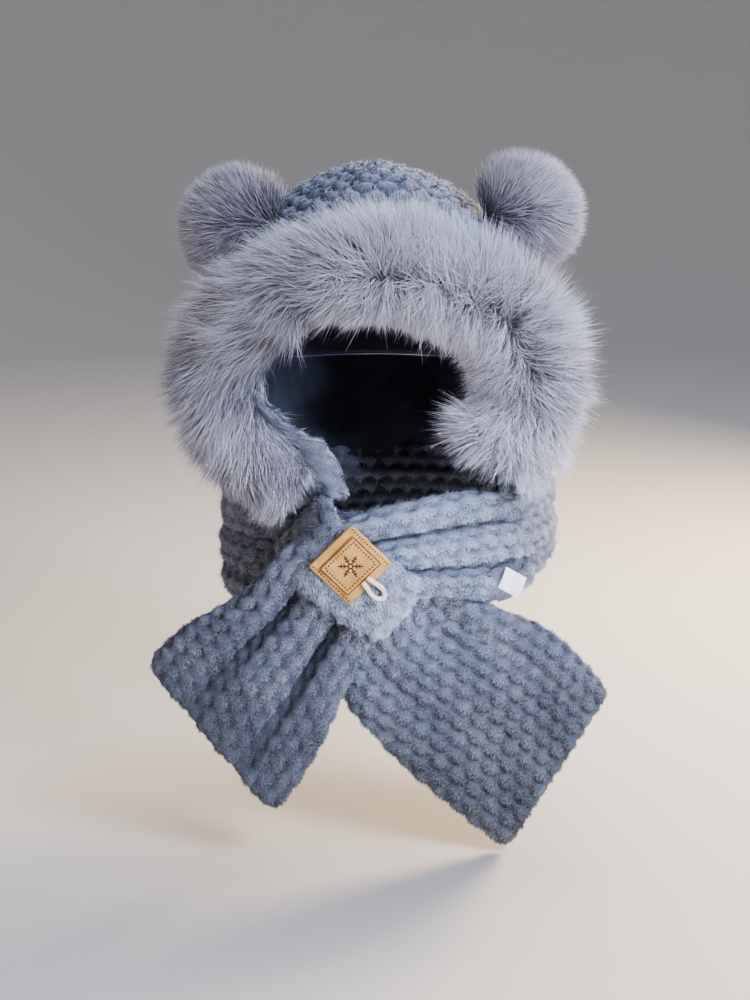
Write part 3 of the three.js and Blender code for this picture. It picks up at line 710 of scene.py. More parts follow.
def loops_along(column):
    """Where along each column the band's loops are, each column being shifted a little."""
    return (band_along[:, None] + 2.5 * fraction(column * 0.7)) / SCARF_LOOP[0]


band_height = loop_height(loops_along, band_across / SCARF_LOOP[1])
# The plush is pressed flat behind the care label, which lies on the right strand.
LABEL_TURN, LABEL_THICKNESS, LABEL_LIFT, LABEL_DROP, LABEL_REACH = -48, 1.0, 8, 25, 17
label_run = unit(neck_place(LABEL_TURN + 1) - neck_place(LABEL_TURN - 1))
label_out = np.cross(label_run, [0, 0, 1])
label_lift = BAND_THICKNESS / 2 + GAP + LABEL_THICKNESS / 2 + LABEL_LIFT
label_centre = neck_place(LABEL_TURN) + label_out * label_lift - [0, 0, LABEL_DROP]
from_label = np.linalg.norm(band_points - label_centre, axis=-1) - LABEL_REACH
pressed = 1 - smooth(np.clip(from_label / 9, 0, 1))
band_height = mix(band_height, 0.6, pressed)
band_rise = (band_height - 0.5) * SCARF_RELIEF * end_full - 4 * pressed * (ring_side > 0)
band_relief, band_relief_out = raised(band_points, band_middle, band_rise)
# The left tip is worn flatter. The hanging ends, the band's inner side and the pleats' valleys
# are painted darker: painted shade.
tip_worn = smooth(np.clip(1 - band_along / 100, 0, 1))[:, None] * (ring_side > 0)
band_height = mix(band_height, 0.62, tip_worn * 0.5) * np.where(ring_side > 0, 1, 0.72)
# painted shade: darker towards both ends
band_height = band_height * (1 - 0.15 * smooth(np.clip((210 - from_end) / 90, 0, 1)))[:, None]
# painted shade in the pleats' valleys
painted_valley_shade = np.exp(-((to_valley / 0.13) ** 2)) * np.clip(pleat / 0.25, 0, 1)[:, None]
band_height = band_height * (1 - 0.5 * painted_valley_shade)
scarf_knit = tube_piece("scarf_knit", band_relief, knit_plush, knit_map(band_height, 0.72))
# The pile lies over the round ends of the loops and hangs a little.
band_lie = -side[:, None] + [0, 0, -0.35]


def scarf_weight(middle, normal):
    front = (middle[:, 1] < -60) & (normal[:, 1] < 0.25)
    clear = np.linalg.norm(middle - label_centre, axis=1) > LABEL_REACH
    return np.where(front, 1.0, 0.4) * clear


scarf_pile = pile_piece(
    "scarf_pile", band_relief, band_relief_out, band_lie, band_height, 132000, scarf_weight, (1.7, 5.2), 1.1
)
for piece in (scarf_knit, scarf_pile):
    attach(piece, "root")
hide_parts("scarf_band")

# ---- The keeper
# A short padded band of the same plush. It arches over the gathered left strand, and its two ends
# are sewn to the strand behind.
KEEPER_LENGTH, KEEPER_WIDTH, KEEPER_THICKNESS = 110.0, 62.0, 12.0
KEEPER_TOP_Y = LEFT_Y - BAND_THICKNESS * (0.5 + CROSSING_PLEAT) - GAP - KEEPER_THICKNESS
KEEPER_LOOP = (17.0, 12.5)
KEEPER_SQUARENESS = 3
KEEPER_SHIFT, UPPER_FOOT, LOWER_FOOT = 5, 60, 50  # along it from the crossing, and how far its ends go back
keeper_turn = math.radians(-37)
keeper_long = np.array([math.cos(keeper_turn), 0, math.sin(keeper_turn)])
keeper_wide = np.array([-keeper_long[2], 0, keeper_long[0]])
# where the leather squares are sewn on it
PATCH_X, PATCH_Z, PATCH_TURN = -18.7, -276.0, math.radians(45)
patch_long = np.array([math.cos(PATCH_TURN), 0, math.sin(PATCH_TURN)])
patch_wide = np.array([-math.sin(PATCH_TURN), 0, math.cos(PATCH_TURN)])


def keeper_arch(share):
    """The keeper's middle line, from its upper end at -1 to its lower end at 1."""
    turn = np.clip(share, -1, 1) * math.pi / 2
    sin, cos = np.sin(turn), np.cos(turn)
    foot = np.where(share < 0, UPPER_FOOT, LOWER_FOOT)
    along = KEEPER_SHIFT + (KEEPER_LENGTH - KEEPER_THICKNESS) / 2 * np.sign(sin) * np.abs(sin) ** (2 / 3)
    middle = np.array([CROSSING_X, KEEPER_TOP_Y + KEEPER_THICKNESS / 2, CROSSING_Z])
    return middle + along[:, None] * keeper_long + (foot * (1 - np.abs(cos) ** (2 / 3)))[:, None] * [0, 1, 0]


KEEPER_ROWS, KEEPER_COLUMNS = 84, 60
arch_fine = keeper_arch(np.linspace(-1, 1, 2000))
arch_length = lengths(arch_fine)
arch_mm = np.linspace(0, arch_length[-1], KEEPER_ROWS)
keeper_share = np.interp(arch_mm, arch_length, np.linspace(-1, 1, 2000))
arch = keeper_arch(keeper_share)[:, None]
near_share = np.clip(keeper_share, -0.99, 0.99)
arch_run = unit(keeper_arch(near_share + 0.004) - keeper_arch(near_share - 0.004))
arch_out = unit(np.cross(keeper_wide, arch_run))
across, over = section_ring(KEEPER_WIDTH / 2, KEEPER_THICKNESS / 2, KEEPER_SQUARENESS, KEEPER_COLUMNS)
thick = KEEPER_THICKNESS / 2 * rounded(across, KEEPER_SQUARENESS)
from_middle = across * KEEPER_WIDTH / 2
keeper_points = arch + keeper_wide * from_middle[:, None] + arch_out[:, None] * (over * thick)[:, None]
keeper_middle = arch + keeper_wide * (from_middle * 0.85)[:, None]
keeper_height = loop_height(lambda column: arch_mm[:, None] / KEEPER_LOOP[0], from_middle / KEEPER_LOOP[1])
keeper_relief, keeper_relief_out = raised(keeper_points, keeper_middle, (keeper_height - 0.75) * 3.2)
keeper_knit = tube_piece("keeper_knit", keeper_relief, knit_plush, knit_map(keeper_height, 0.6, 0.15))


def under_patch(middle, normal):
    """The pile is flattened away below the leather squares."""
    a, b = np.abs((middle - [PATCH_X, 0, PATCH_Z]) @ np.stack([patch_long, patch_wide], axis=1)).T
    below = (a < 21) & (b < 20) & (middle[:, 1] < -140)
    return np.where(below, 0.0, np.where(normal[:, 1] < 0.3, 1.0, 0.2))


keeper_lie = keeper_long * 0.75 - keeper_wide * 0.45
keeper_shade = mix(0.35, 1, keeper_height)
keeper_pile = pile_piece(
    "keeper_pile", keeper_relief, keeper_relief_out, keeper_lie, keeper_shade, 17000, under_patch,
    (3.0, 6.5), 1.15,
)
for piece in (keeper_knit, keeper_pile):
    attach(piece, "root")
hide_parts("keeper_loop")

# ---- The ears
# Two round ears of deep fur cloth, stuffed lightly and sewn to the hood's upper sides. Their hair
# fans out from the sewn root over both faces to an even, clipped rim.
EAR_RADIUS = 52.0
EAR_PAD = np.array([33.0, 17.0, 33.0])  # half the pad's width, depth and height
# name, node, the pad's middle and where its hair starts
ears = [
    ("ear_fur_right", "ear_right", np.array([119.0, -34, -20]), np.array([80.0, -34, -22])),
    ("ear_fur_left", "ear_left", np.array([-110.0, -34, -30]), np.array([-72.0, -34, -31])),
]
EAR_FIBRES, EAR_CLUMPS = 19500, 4600

# Fur cloth: the hair's root is mauve-grey and its tip a pale lavender-grey, with a silky shine.
ear_hair = fibre_material("ear_fur_fibre", "#3d3b44", "#7b7985", "#c9c9d3", 0.6, 0.15)
fur_ground = grained_material(
    "fur_cloth_ground", [(0.3, "#5a5863"), (0.7, "#7d7b87")], {"Scale": 260, "Detail": 3},
    (0.7, 0.002), Roughness=0.95,
)


def fur_piece(name, points, widths, up, tone, material, even_light):
    """Long hair from its roots, middles and tips."""
    facing, tone = unit(up + rng.normal(0, 0.22, up.shape)), np.clip(tone, 0, 1)
    return fibre_piece(name, np.stack(points, axis=1), widths, facing, tone, material, even_light)


v = np.linspace(0.001, math.pi - 0.001, 22)[:, None]
u = all_round(40)
ball = np.stack(np.broadcast_arrays(np.sin(v) * np.cos(u), np.cos(v), np.sin(v) * np.sin(u)), axis=-1)
for name, node, centre, whorl in ears:
    pad = tube_piece(name.replace("fur", "pad"), centre + ball * EAR_PAD, fur_ground)
    angle, face = rng.uniform(0, 2 * math.pi, EAR_CLUMPS), rng.choice([-1, 1], EAR_CLUMPS, p=[0.6, 0.4])
    lat = np.sqrt(rng.uniform(0, 1, EAR_CLUMPS))
    ahead = face * np.sqrt(np.maximum(1 - lat**2, 0))
    spot = np.stack([lat * np.cos(angle), ahead, lat * np.sin(angle)], axis=1)
    clump_root = centre + spot * EAR_PAD
    clump_up = unit(spot / EAR_PAD)
    pick = rng.integers(0, EAR_CLUMPS, EAR_FIBRES)
    root = clump_root[pick] + rng.normal(0, 1.5, (EAR_FIBRES, 3))
    up = clump_up[pick]
    fan = unit(unit((clump_root - whorl) * SEEN) + unit((clump_root - centre) * SEEN + 1e-6) * 0.6)
    fan = unit(fan + waver(clump_root, 7) * 0.16 + rng.normal(0, 0.10, (EAR_CLUMPS, 3)))
    spread = unit(fan[pick] + rng.normal(0, 0.13, (EAR_FIBRES, 3)))
    # the clipped rim sits a little lower and nearer to the hood than the pad
    rim_centre = centre + [-0.05 * centre[0], 0, -4]
    to_rim = EAR_RADIUS - np.linalg.norm((root - rim_centre) * SEEN, axis=1)
    reach = np.minimum(25, to_rim + 2 + 3.5 * np.abs(up[:, 1])) * rng.uniform(0.62, 1.03, EAR_FIBRES)
    reach = np.maximum(reach, 6)[:, None]
    first = root + unit(up * 0.6 + spread * 0.9) * reach * 0.5
    second = first + unit(up * 0.05 + spread) * reach * 0.55
    second += (clump_root[pick] + (second - root) - second) * 0.25
    widths = np.array([[0.6, 0.5, 0.2]]) * rng.uniform(0.7, 1.25, (EAR_FIBRES, 1))
    tone = rng.normal(0.44, 0.09, EAR_CLUMPS)[pick] + rng.normal(0, 0.14, EAR_FIBRES)
    # the hair is paler towards the rim, and the left ear's is painted darker, as painted shade
    from_whorl = np.linalg.norm((root - whorl) * SEEN, axis=1)
    tone += np.clip(from_whorl / 62, 0, 1) * 0.22 + 0.1 - 0.24 * (centre[0] < 0)
    fur = fur_piece(name, (root, first, second), widths, up, tone, ear_hair, 0.5)
    for piece in (pad, fur):
        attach(piece, "root")
    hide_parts(node)

# ---- The fur trim
# A deep strip of fur cloth wrapped round the hood's front edge, a horseshoe that ends at the chin.
# Its long hair parts along the strip: the outer half lies back over the hood and the inner half
# hangs over the face opening, and at the left it is combed out sideways and down.
TRIM_HALF_WIDTH, TRIM_HALF_DEPTH, TRIM_AHEAD, PILE = 21.0, 16.0, 5.0, 44.0

# share along the strip, and the hair's length outside and inside the part as shares of the pile
nap_rows = np.array([
    (0, 0.45, 0.2), (0.2, 0.72, 0.08), (0.36, 0.82, 0.28), (0.5, 0.85, 0.42),
    (0.66, 0.88, 0.5), (0.8, 0.9, 0.5), (0.92, 0.8, 0.75), (1, 0.5, 0.95),
])
# the part's turn round the strip's section along it, in degrees, 0 being outside and 90 in front
part_rows = np.array([
    (0, 175), (0.3, 165), (0.42, 130), (0.5, 90), (0.66, 90), (0.78, 62), (0.9, 95), (1, 120),
])

# Which way the hair is combed, read off the photograph: how far a place lies to the right
# and down, in its pixels, and the angle in degrees from the wearer's left, counted upwards.
comb_rows = np.array([
    (340, 270, 180), (340, 240, 150), (310, 215, 160), (360, 215, 125), (385, 210, 110), (250, 270, 180),
    (195, 310, 180), (300, 300, 195), (250, 310, 200), (185, 340, 200), (170, 385, 190), (340, 310, 215),
    (300, 330, 215), (260, 345, 220), (230, 370, 230), (220, 400, 245), (240, 405, 260), (180, 415, 210),
    (200, 430, 235), (235, 440, 285), (260, 460, 305), (250, 490, 275), (310, 500, 285), (215, 455, 255),
    (360, 310, 250), (385, 320, 270), (440, 320, 255), (470, 345, 235), (490, 390, 215), (500, 425, 220),
    (400, 250, 90), (440, 230, 110), (490, 245, 115), (475, 290, 100), (505, 295, 80), (525, 280, 65),
    (550, 305, 45), (570, 335, 20), (585, 370, 5), (585, 430, 340), (560, 470, 320), (545, 340, 30),
    (560, 390, 345), (545, 425, 290), (520, 400, 265), (530, 455, 290), (470, 440, 155), (470, 460, 185),
    (470, 480, 220), (495, 490, 270),
], float)
# A pixel is 0.775 mm wide and 0.8 mm high at the fur, and the picture's middle lies 237 mm down.
comb_places = (comb_rows[:, :2] - [375, 500]) * [0.775, -0.8] - [0, 237]


def rim_frame(along):
    """Middle of the strip and its run, outwards and ahead directions at shares along it."""
    def at(share):
        flat = even(FACE, np.clip(share, 0, 1))
        return np.stack([flat[:, 0], hood_front_y(flat[:, 0], flat[:, 1], HOOD_WALL / 2), flat[:, 1]], axis=1)

    place = at(along)
    run = unit(at(along + 0.01) - at(along - 0.01))
    outwards = unit((place - [0, 0, FACE_WIDEST_Z]) * SEEN)
    ahead = unit(np.cross(run, outwards))
    return place, run, unit(np.cross(ahead, run)), ahead


def trim_place(along, turn, grow=0.0):
    """A point of the strip's surface, and the way out of it."""
    place, run, outwards, ahead = rim_frame(along)
    cos, sin = np.cos(turn)[:, None], np.sin(turn)[:, None]
    depth = sin * (TRIM_HALF_DEPTH + grow) + TRIM_AHEAD
    root = place + outwards * cos * (TRIM_HALF_WIDTH + grow) + ahead * depth
    up = unit(outwards * cos / TRIM_HALF_WIDTH + ahead * sin / TRIM_HALF_DEPTH)
    return root, up, run, outwards, ahead


def combed(points):
    """The comb's direction at points, from the rows nearest to them."""
    flat = points[:, [0, 2]]
    turn = np.radians(comb_rows[:, 2])
    near = np.exp(-np.sum((flat[:, None] - comb_places[None]) ** 2, axis=2) / (2 * 13.0**2)) + 1e-9
    way = near @ np.stack([np.cos(turn), np.sin(turn)], axis=1)
    return unit(np.insert(way, 1, 0, axis=1))


ROLL_ROWS, ROLL_COLUMNS = 130, 28
roll_along = np.repeat(np.linspace(0, 1, ROLL_ROWS), ROLL_COLUMNS)
roll_turn = np.tile(all_round(ROLL_COLUMNS), ROLL_ROWS)
roll_points = trim_place(roll_along, roll_turn, -1.0)[0].reshape(ROLL_ROWS, ROLL_COLUMNS, 3)
for row in (0, -1):
    roll_points[row] = mix(roll_points[row], roll_points[row].mean(axis=0), 0.9)
trim_roll = tube_piece("trim_roll", roll_points, fur_ground)
trim_hair = fibre_material("trim_fur_fibre", "#413f49", "#787682", "#d4d6e2", 0.55, 0.15)
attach(trim_roll, "root")

TRIM_FIBRES, TRIM_CLUMPS = 46000, 6500
TRIM_WIDTHS = np.array([[0.62, 0.52, 0.2]])  # of a hair at its root, middle and tip, mm
trim_parts = (("trim_fur_left", 0, 0.35), ("trim_fur_top", 0.35, 0.66), ("trim_fur_right", 0.66, 1))
for name, low, high in trim_parts:
    along = rng.uniform(low, high, TRIM_CLUMPS)
    turn = np.radians(rng.uniform(-60, 225, TRIM_CLUMPS))
    part = np.radians(np.interp(along, *part_rows.T))
    inner = smooth(np.clip((turn - part + rng.normal(0, 0.42, TRIM_CLUMPS)) / 0.5 + 0.5, 0, 1))
    pick = rng.integers(0, TRIM_CLUMPS, TRIM_FIBRES)
    centre, centre_up, run, outwards, ahead = trim_place(along, turn)
    fibre_along = np.clip(along[pick] + rng.normal(0, 0.004, TRIM_FIBRES), 0, 1)
    root, up = trim_place(fibre_along, turn[pick] + rng.normal(0, 0.1, TRIM_FIBRES))[:2]
    # away from the part, in the surface
    sin, cos = np.sin(turn)[:, None], np.cos(turn)[:, None]
    lateral = unit(-outwards * sin * TRIM_HALF_WIDTH + ahead * cos * TRIM_HALF_DEPTH)
    lateral *= (2 * inner - 1)[:, None]
    comb = combed(centre + (centre_up * 10 + lateral * 12) * SEEN)
    # the hair stands every way at the part, and hides it
    at_part = np.exp(-(((turn - part) / 0.4) ** 2))[:, None]
    wisps = rng.normal(0, 0.13, (TRIM_CLUMPS, 3)) * (1 + 2 * at_part)
    comb = unit(comb + waver(centre, 9) * [0.32, 0.1, 0.32] + wisps)
    outer_nap, inner_nap = (np.interp(along, nap_rows[:, 0], nap_rows[:, k]) for k in (1, 2))
    long = PILE * mix(outer_nap, inner_nap, inner)
    ahead_share = np.clip(np.sum(centre_up * ahead, axis=1), 0, 1)
    long = long * mix(0.9, 1.2, ahead_share) * rng.uniform(0.8, 1.15, TRIM_CLUMPS) + 4
    # a third is short under-fur, and a tenth are long, pale guard hairs
    kind = rng.random(TRIM_FIBRES)
    under, guard = kind < 0.33, kind > 0.9
    share = np.where(under, rng.uniform(0.4, 0.7, TRIM_FIBRES), rng.uniform(0.7, 1.0, TRIM_FIBRES))
    share = np.where(guard, rng.uniform(0.95, 1.18, TRIM_FIBRES), share)
    reach = (long[pick] * share)[:, None]
    spread = unit(comb[pick] + rng.normal(0, 0.13, (TRIM_FIBRES, 3)))
    lean = lateral[pick] * 0.35
    first = root + unit(up * 0.75 + spread * 0.75 + lean) * reach * 0.48
    curl = waver(root, 7) * 0.3 + rng.normal(0, 0.16, (TRIM_FIBRES, 3))
    second = first + unit(up * 0.12 + spread + lean * 0.5 + curl + [0, 0.04, -0.08]) * reach * 0.54
    second += (centre[pick] + (second - root) - second) * 0.5
    widths = TRIM_WIDTHS * rng.uniform(0.65, 1.3, (TRIM_FIBRES, 1)) * np.where(guard, 0.8, 1)[:, None]
    tone = rng.normal(0.44, 0.16, TRIM_CLUMPS)[pick] + rng.normal(0, 0.21, TRIM_FIBRES)
    tone += np.where(under, -0.12, 0) + np.where(guard, 0.28, 0) + waver(root, 14)[:, 0] * 0.11
    # the hair is painted palest right of the middle, over the crown, as a painted highlight, and a
    # little paler at the part, as painted light over the shade of the gap
    painted_highlight = np.exp(-((root[:, 0] - 52) ** 2 + (root[:, 2] + 40) ** 2) / (2 * 50**2))
    tone += 0.34 * painted_highlight + 0.1 * at_part[pick, 0]
    fur = fur_piece(name, (root, first, second), widths, up, tone, trim_hair, 0.45)
    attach(fur, "root")
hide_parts("fur_trim")

# ---- The chin flap
# Below the left cheek the hood's edge comes forward to the chin as a soft flap of the same plush.
# The fur strip is sewn on its front, and its inner edge shows as a row of plush scallops.
FLAP_THICKNESS, FLAP_LOOP, FLAP_RELIEF = 9.0, (15, 11), 3.0
FLAP_ROWS, FLAP_COLUMNS = 60, 44
FLAP_SHARE = 0.27  # of the trim's strip, which carries the flap
flap_edge = [
    (-23, -105, -237), (-29, -102, -214), (-41, -99, -193), (-61, -97, -183), (-80, -94, -170),
    (-91, -90, -152),
]
flap_share = np.linspace(0, 1, FLAP_ROWS)
edge_line = through_points(flap_edge, flap_share)
hem_line = rim_frame(flap_share * FLAP_SHARE)[0] + [0, -4, 0]
flap_turn = all_round(FLAP_COLUMNS)
flap_across, flap_through = (
    np.sign(side) * np.abs(side) ** 0.8 for side in (np.cos(flap_turn), np.sin(flap_turn))
)
flap_run = unit(np.gradient(edge_line + hem_line, axis=0))
flap_way = unit(edge_line - hem_line)
flap_front = unit(np.cross(flap_run, flap_way))
flap_front *= -np.sign(flap_front[:, 1:2])
scallop = 5 * np.abs(np.sin(flap_share * 6 * math.pi)) ** 0.7
end_round = rounded(np.clip(np.abs(flap_share - 0.5) * 2, 0, 0.995), 6)[:, None]
near_edge = np.clip(flap_across, 0, 1)
flap_middle = mix(hem_line[:, None], edge_line[:, None], (0.5 + 0.42 * flap_across)[:, None])
flap_points = (
    mix(hem_line[:, None], edge_line[:, None], (0.5 + 0.5 * flap_across)[:, None])
    + flap_way[:, None] * (near_edge * scallop[:, None])[..., None]
    + flap_front[:, None] * (flap_through * end_round * FLAP_THICKNESS / 2)[..., None]
    + flap_front[:, None] * (near_edge * 5.0)[:, None]
)
flap_length = np.linalg.norm(np.diff(edge_line, axis=0), axis=1).sum()
flap_height = loop_height(
    lambda column: flap_share[:, None] * flap_length / FLAP_LOOP[0], -(flap_across * 16) / FLAP_LOOP[1]
)
flap_relief, flap_relief_out = raised(flap_points, flap_middle, (flap_height - 0.6) * FLAP_RELIEF)
chin_flap = tube_piece("chin_flap", flap_relief, knit_plush, knit_map(flap_height, 0.62, 0.2))
flap_lie = flap_way[:, None] * 0.8 + [0, 0, -0.3]
flap_shade = mix(0.5, 1, flap_height)
flap_pile = pile_piece(
    "flap_pile", flap_relief, flap_relief_out, flap_lie, flap_shade, 7000, lambda *_: 1.0, (2.0, 4.0), 1.1
)
FLAP_FIBRES = 9000
row = rng.random(FLAP_FIBRES)
inwards = rng.uniform(-0.05, 0.12, FLAP_FIBRES)[:, None]
hem, edge, front = (on_line(row, flap_share, line) for line in (hem_line, edge_line, flap_front))
up = unit(front + [0, 0, -0.25])
root = mix(hem, edge, inwards) + up * FLAP_THICKNESS * 0.45
comb = combed(root + [0, 0, -8]) + waver(root, 9) * 0.2 + rng.normal(0, 0.17, (FLAP_FIBRES, 3))
reach = PILE * 0.45 * rng.uniform(0.45, 1.05, FLAP_FIBRES)[:, None]
first = root + unit(up * 0.6 + comb) * reach * 0.48
second = first + unit(up * 0.1 + comb + [0, 0, -0.1]) * reach * 0.54
widths = TRIM_WIDTHS * rng.uniform(0.65, 1.3, (FLAP_FIBRES, 1))
tone = rng.normal(0.38, 0.2, FLAP_FIBRES)
flap_fur = fur_piece("flap_fur", (root, first, second), widths, up, tone, trim_hair, 0.45)
for piece, finish in ((chin_flap, "knit_plush"), (flap_pile, "knit_plush"), (flap_fur, "trim_fur")):
    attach(piece, "root")

# ---- The visor
# A clear, slightly violet film that hangs under the fur from the lining's front edge. It is cut
# from sheet, so its polished faces are clear, and its lower cut edge is a pale opaque strip: a
# painted highlight where the edge catches the light.
VISOR_HALF, VISOR_HEIGHT, VISOR_LOW_Z, VISOR_BOW = 106, 62, -126, 12
VISOR_ROWS, VISOR_COLUMNS, FILM_HALF = 80, 16, 0.5
across, up = np.linspace(-1, 1, VISOR_ROWS)[:, None], np.linspace(0, 1, VISOR_COLUMNS)
# the film is bent as the lining's front is at the middle of its height
visor_x = across * VISOR_HALF
visor_y = hood_front_y(visor_x, -83.25, LINING_INSET + GAP + FILM_HALF)
visor_z = VISOR_LOW_Z - VISOR_BOW * across**2 + up * VISOR_HEIGHT
film_points = np.array([
    np.stack(np.broadcast_arrays(visor_x, visor_y + through, visor_z), axis=-1)
    for through in (-FILM_HALF, FILM_HALF)
])
clear_film, tree = new_material("clear_polished_film")
film = add(
    tree, "BsdfPrincipled", Base_Color=linear("#a9a0d0"), Roughness=0.12, IOR=1.3,
    Transmission_Weight=1.0,
)
add(tree, "OutputMaterial", Surface=film)
# a painted highlight: the film's lower cut edge is pale and opaque
painted_edge_highlight, tree = new_material("cut_film_edge")
edge = add(tree, "BsdfPrincipled", Base_Color=linear("#dcdcf0"), Roughness=0.35, IOR=1.5)
add(tree, "OutputMaterial", Surface=edge)


def edge_faces(edge, behind):
    """Faces that join an edge of a sheet's front with its back, whose points follow all of the
    front's."""
    return np.stack([edge[:-1], edge[1:], edge[1:] + behind, edge[:-1] + behind], axis=1)


front = grid_faces(VISOR_ROWS, VISOR_COLUMNS)
behind = VISOR_ROWS * VISOR_COLUMNS
places = np.arange(behind).reshape(VISOR_ROWS, VISOR_COLUMNS)
low_edge, right_end = edge_faces(places[:, 0], behind), edge_faces(places[-1], behind)
top_edge = low_edge[:, ::-1] + VISOR_COLUMNS - 1
left_end = edge_faces(places[0, ::-1], behind)[::-1]
film_faces = np.vstack([front, front[:, ::-1] + behind, low_edge, top_edge, left_end, right_end])
visor = mesh_piece("visor_film", film_points.reshape(-1, 3), film_faces, clear_film)
visor.data.materials.append(painted_edge_highlight)
# the lower edge's faces carry the painted highlight
edge_start = 2 * len(front)
for k in range(edge_start, edge_start + len(low_edge)):
    visor.data.polygons[k].material_index = 1
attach(visor, "root")
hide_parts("visor")

# ---- The leather squares
# Two squares of vegetable-tanned cow leather, 2 mm thick, stitched on each other and on the keeper.
# The lines and holes are burnt in, which leaves them dark brown.
PATCH_THICKNESS, TOP_LONG, TOP_WIDE = 2.0, 37.0, 31.0
BASE_Y, TOP_Y = KEEPER_TOP_Y - GAP - PATCH_THICKNESS, KEEPER_TOP_Y - 2 * (GAP + PATCH_THICKNESS)
squares = [
    ("leather_base", "patch_base", 47.0, 44.0, BASE_Y),
    ("leather_top", "patch_top", TOP_LONG, TOP_WIDE, TOP_Y),
]
# Pores about 0.5 mm apart are drawn 0.8 mm apart, so that they still show.
tan_leather = grained_material(
    "vegetable_tanned_leather", [(0.3, "#b28445"), (0.55, "#c8995a"), (0.8, "#dab277")],
    {"Scale": 90, "Detail": 4, "Roughness": 0.6}, (0.35, 0.0003),
    ("TexVoronoi", "Distance", None, {"Scale": 1250}), Roughness=0.5, IOR=1.5,
)
# Char is dull and nearly black, and a little browner in places.
burnt = grained_material(
    "burnt_leather", [(0.3, "#22120a"), (0.7, "#43260f")], {"Scale": 700, "Detail": 2}, Roughness=0.8
)


def on_patch(a, b, y):
    """Points of the leather's plane, a along and b across it."""
    a, b = np.asarray(a, float), np.asarray(b, float)
    return np.array([PATCH_X, 0, PATCH_Z]) + a[..., None] * patch_long + b[..., None] * patch_wide + [0, y, 0]


def rounded_square(long, wide, corner, steps=8):
    """The outline of a square with round corners, anticlockwise."""
    turns = np.linspace(0, math.pi / 2, steps)
    return np.vstack([
        np.stack([
            sa * (long / 2 - corner) + corner * np.cos(turns + start),
            sb * (wide / 2 - corner) + corner * np.sin(turns + start),
        ], axis=1)
        for sa, sb, start in ((1, 1, 0), (-1, 1, math.pi / 2), (-1, -1, math.pi), (1, -1, 1.5 * math.pi))
    ])


for name, node, long, wide, y in squares:
    rings = []
    # inset from the outline and depth behind the front face: a pressed, slightly domed edge
    for inset, depth in ((0, 2), (0, 0.8), (0.12, 0.35), (0.45, 0.08), (1, 0), (4, -0.08), (11, -0.1)):
        ring = rounded_square(long - 2 * inset, wide - 2 * inset, max(1.5 - inset, 0.6))
        rings.append(on_patch(*ring.T, y + depth))
    # the back and the front close in a point each
    back, front = (np.repeat(on_patch(0, 0, y + depth)[None], len(ring), axis=0) for depth in (2, -0.1))
    square = tube_piece(name, np.array([back, *rings, front]), tan_leather)
    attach(square, "root")
    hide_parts(node)

mark_points, mark_faces = [], []


def burn(points, faces, y):
    """Adds burnt faces between points of the leather's plane."""
    start = sum(len(p) for p in mark_points)
    mark_points.append(on_patch(*points.T, y))
    mark_faces.extend([start + k for k in face] for face in faces)


def burn_strip(line, width, y):
    """A burnt line along points of the leather's plane."""
    line = np.asarray(line, float)
    run = unit(np.gradient(line, axis=0))
    beside = np.stack([-run[:, 1], run[:, 0]], axis=1) * width / 2
    both = np.stack([line - beside, line + beside], axis=1).reshape(-1, 2)
    burn(both, [[2 * k + n for n in (0, 2, 3, 1)] for k in range(len(line) - 1)], y)


def burn_holes(places, y, radius):
    turns = all_round(8)
    ring = radius * np.stack([np.cos(turns), np.sin(turns)], axis=1)
    for place in places:
        burn(place + ring, ((0, 1, 2, 3), (0, 3, 4, 7), (4, 5, 6, 7)), y)


# the burnt lines stand just clear of the domed leather
top_y, base_y = TOP_Y - 0.22, BASE_Y - 0.2
groove = rounded_square(TOP_LONG - 1.4, TOP_WIDE - 1.4, 1.2)
burn_strip(np.vstack([groove, groove[:1]]), 0.7, top_y)
hole_line = rounded_square(TOP_LONG - 7, TOP_WIDE - 7, 0.5, 2)
hole_line = np.vstack([hole_line, hole_line[:1]])
burn_holes(even(hole_line, np.linspace(0, 1, 40, endpoint=False)), top_y, 0.72)
for side_a in (-21.0, 21.0):
    burn_holes([np.array([side_a, b]) for b in np.linspace(-19.0, 19.0, 15)], base_y, 0.7)

# The engraving is a plain six-armed snow crystal.
for arm in range(6):
    turn = math.radians(60 * arm + 15)
    ray = np.array([math.cos(turn), math.sin(turn)])
    burn_strip([ray * 1.2, ray * 9.8], 0.95, top_y)
    for at, twig in ((4.2, 2.4), (6.6, 1.8)):
        for lean in (-1, 1):
            way = np.array([math.cos(turn + lean * math.pi / 3), math.sin(turn + lean * math.pi / 3)])
            burn_strip([ray * at, ray * at + way * twig], 0.85, top_y)
ring = np.radians(np.arange(0, 361, 12))
burn_strip(np.stack([1.9 * np.cos(ring), 1.9 * np.sin(ring)], axis=1), 0.85, top_y)
marks = mesh_piece("leather_marks", np.vstack(mark_points), np.array(mark_faces), burnt, smooth=False)
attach(marks, "root")

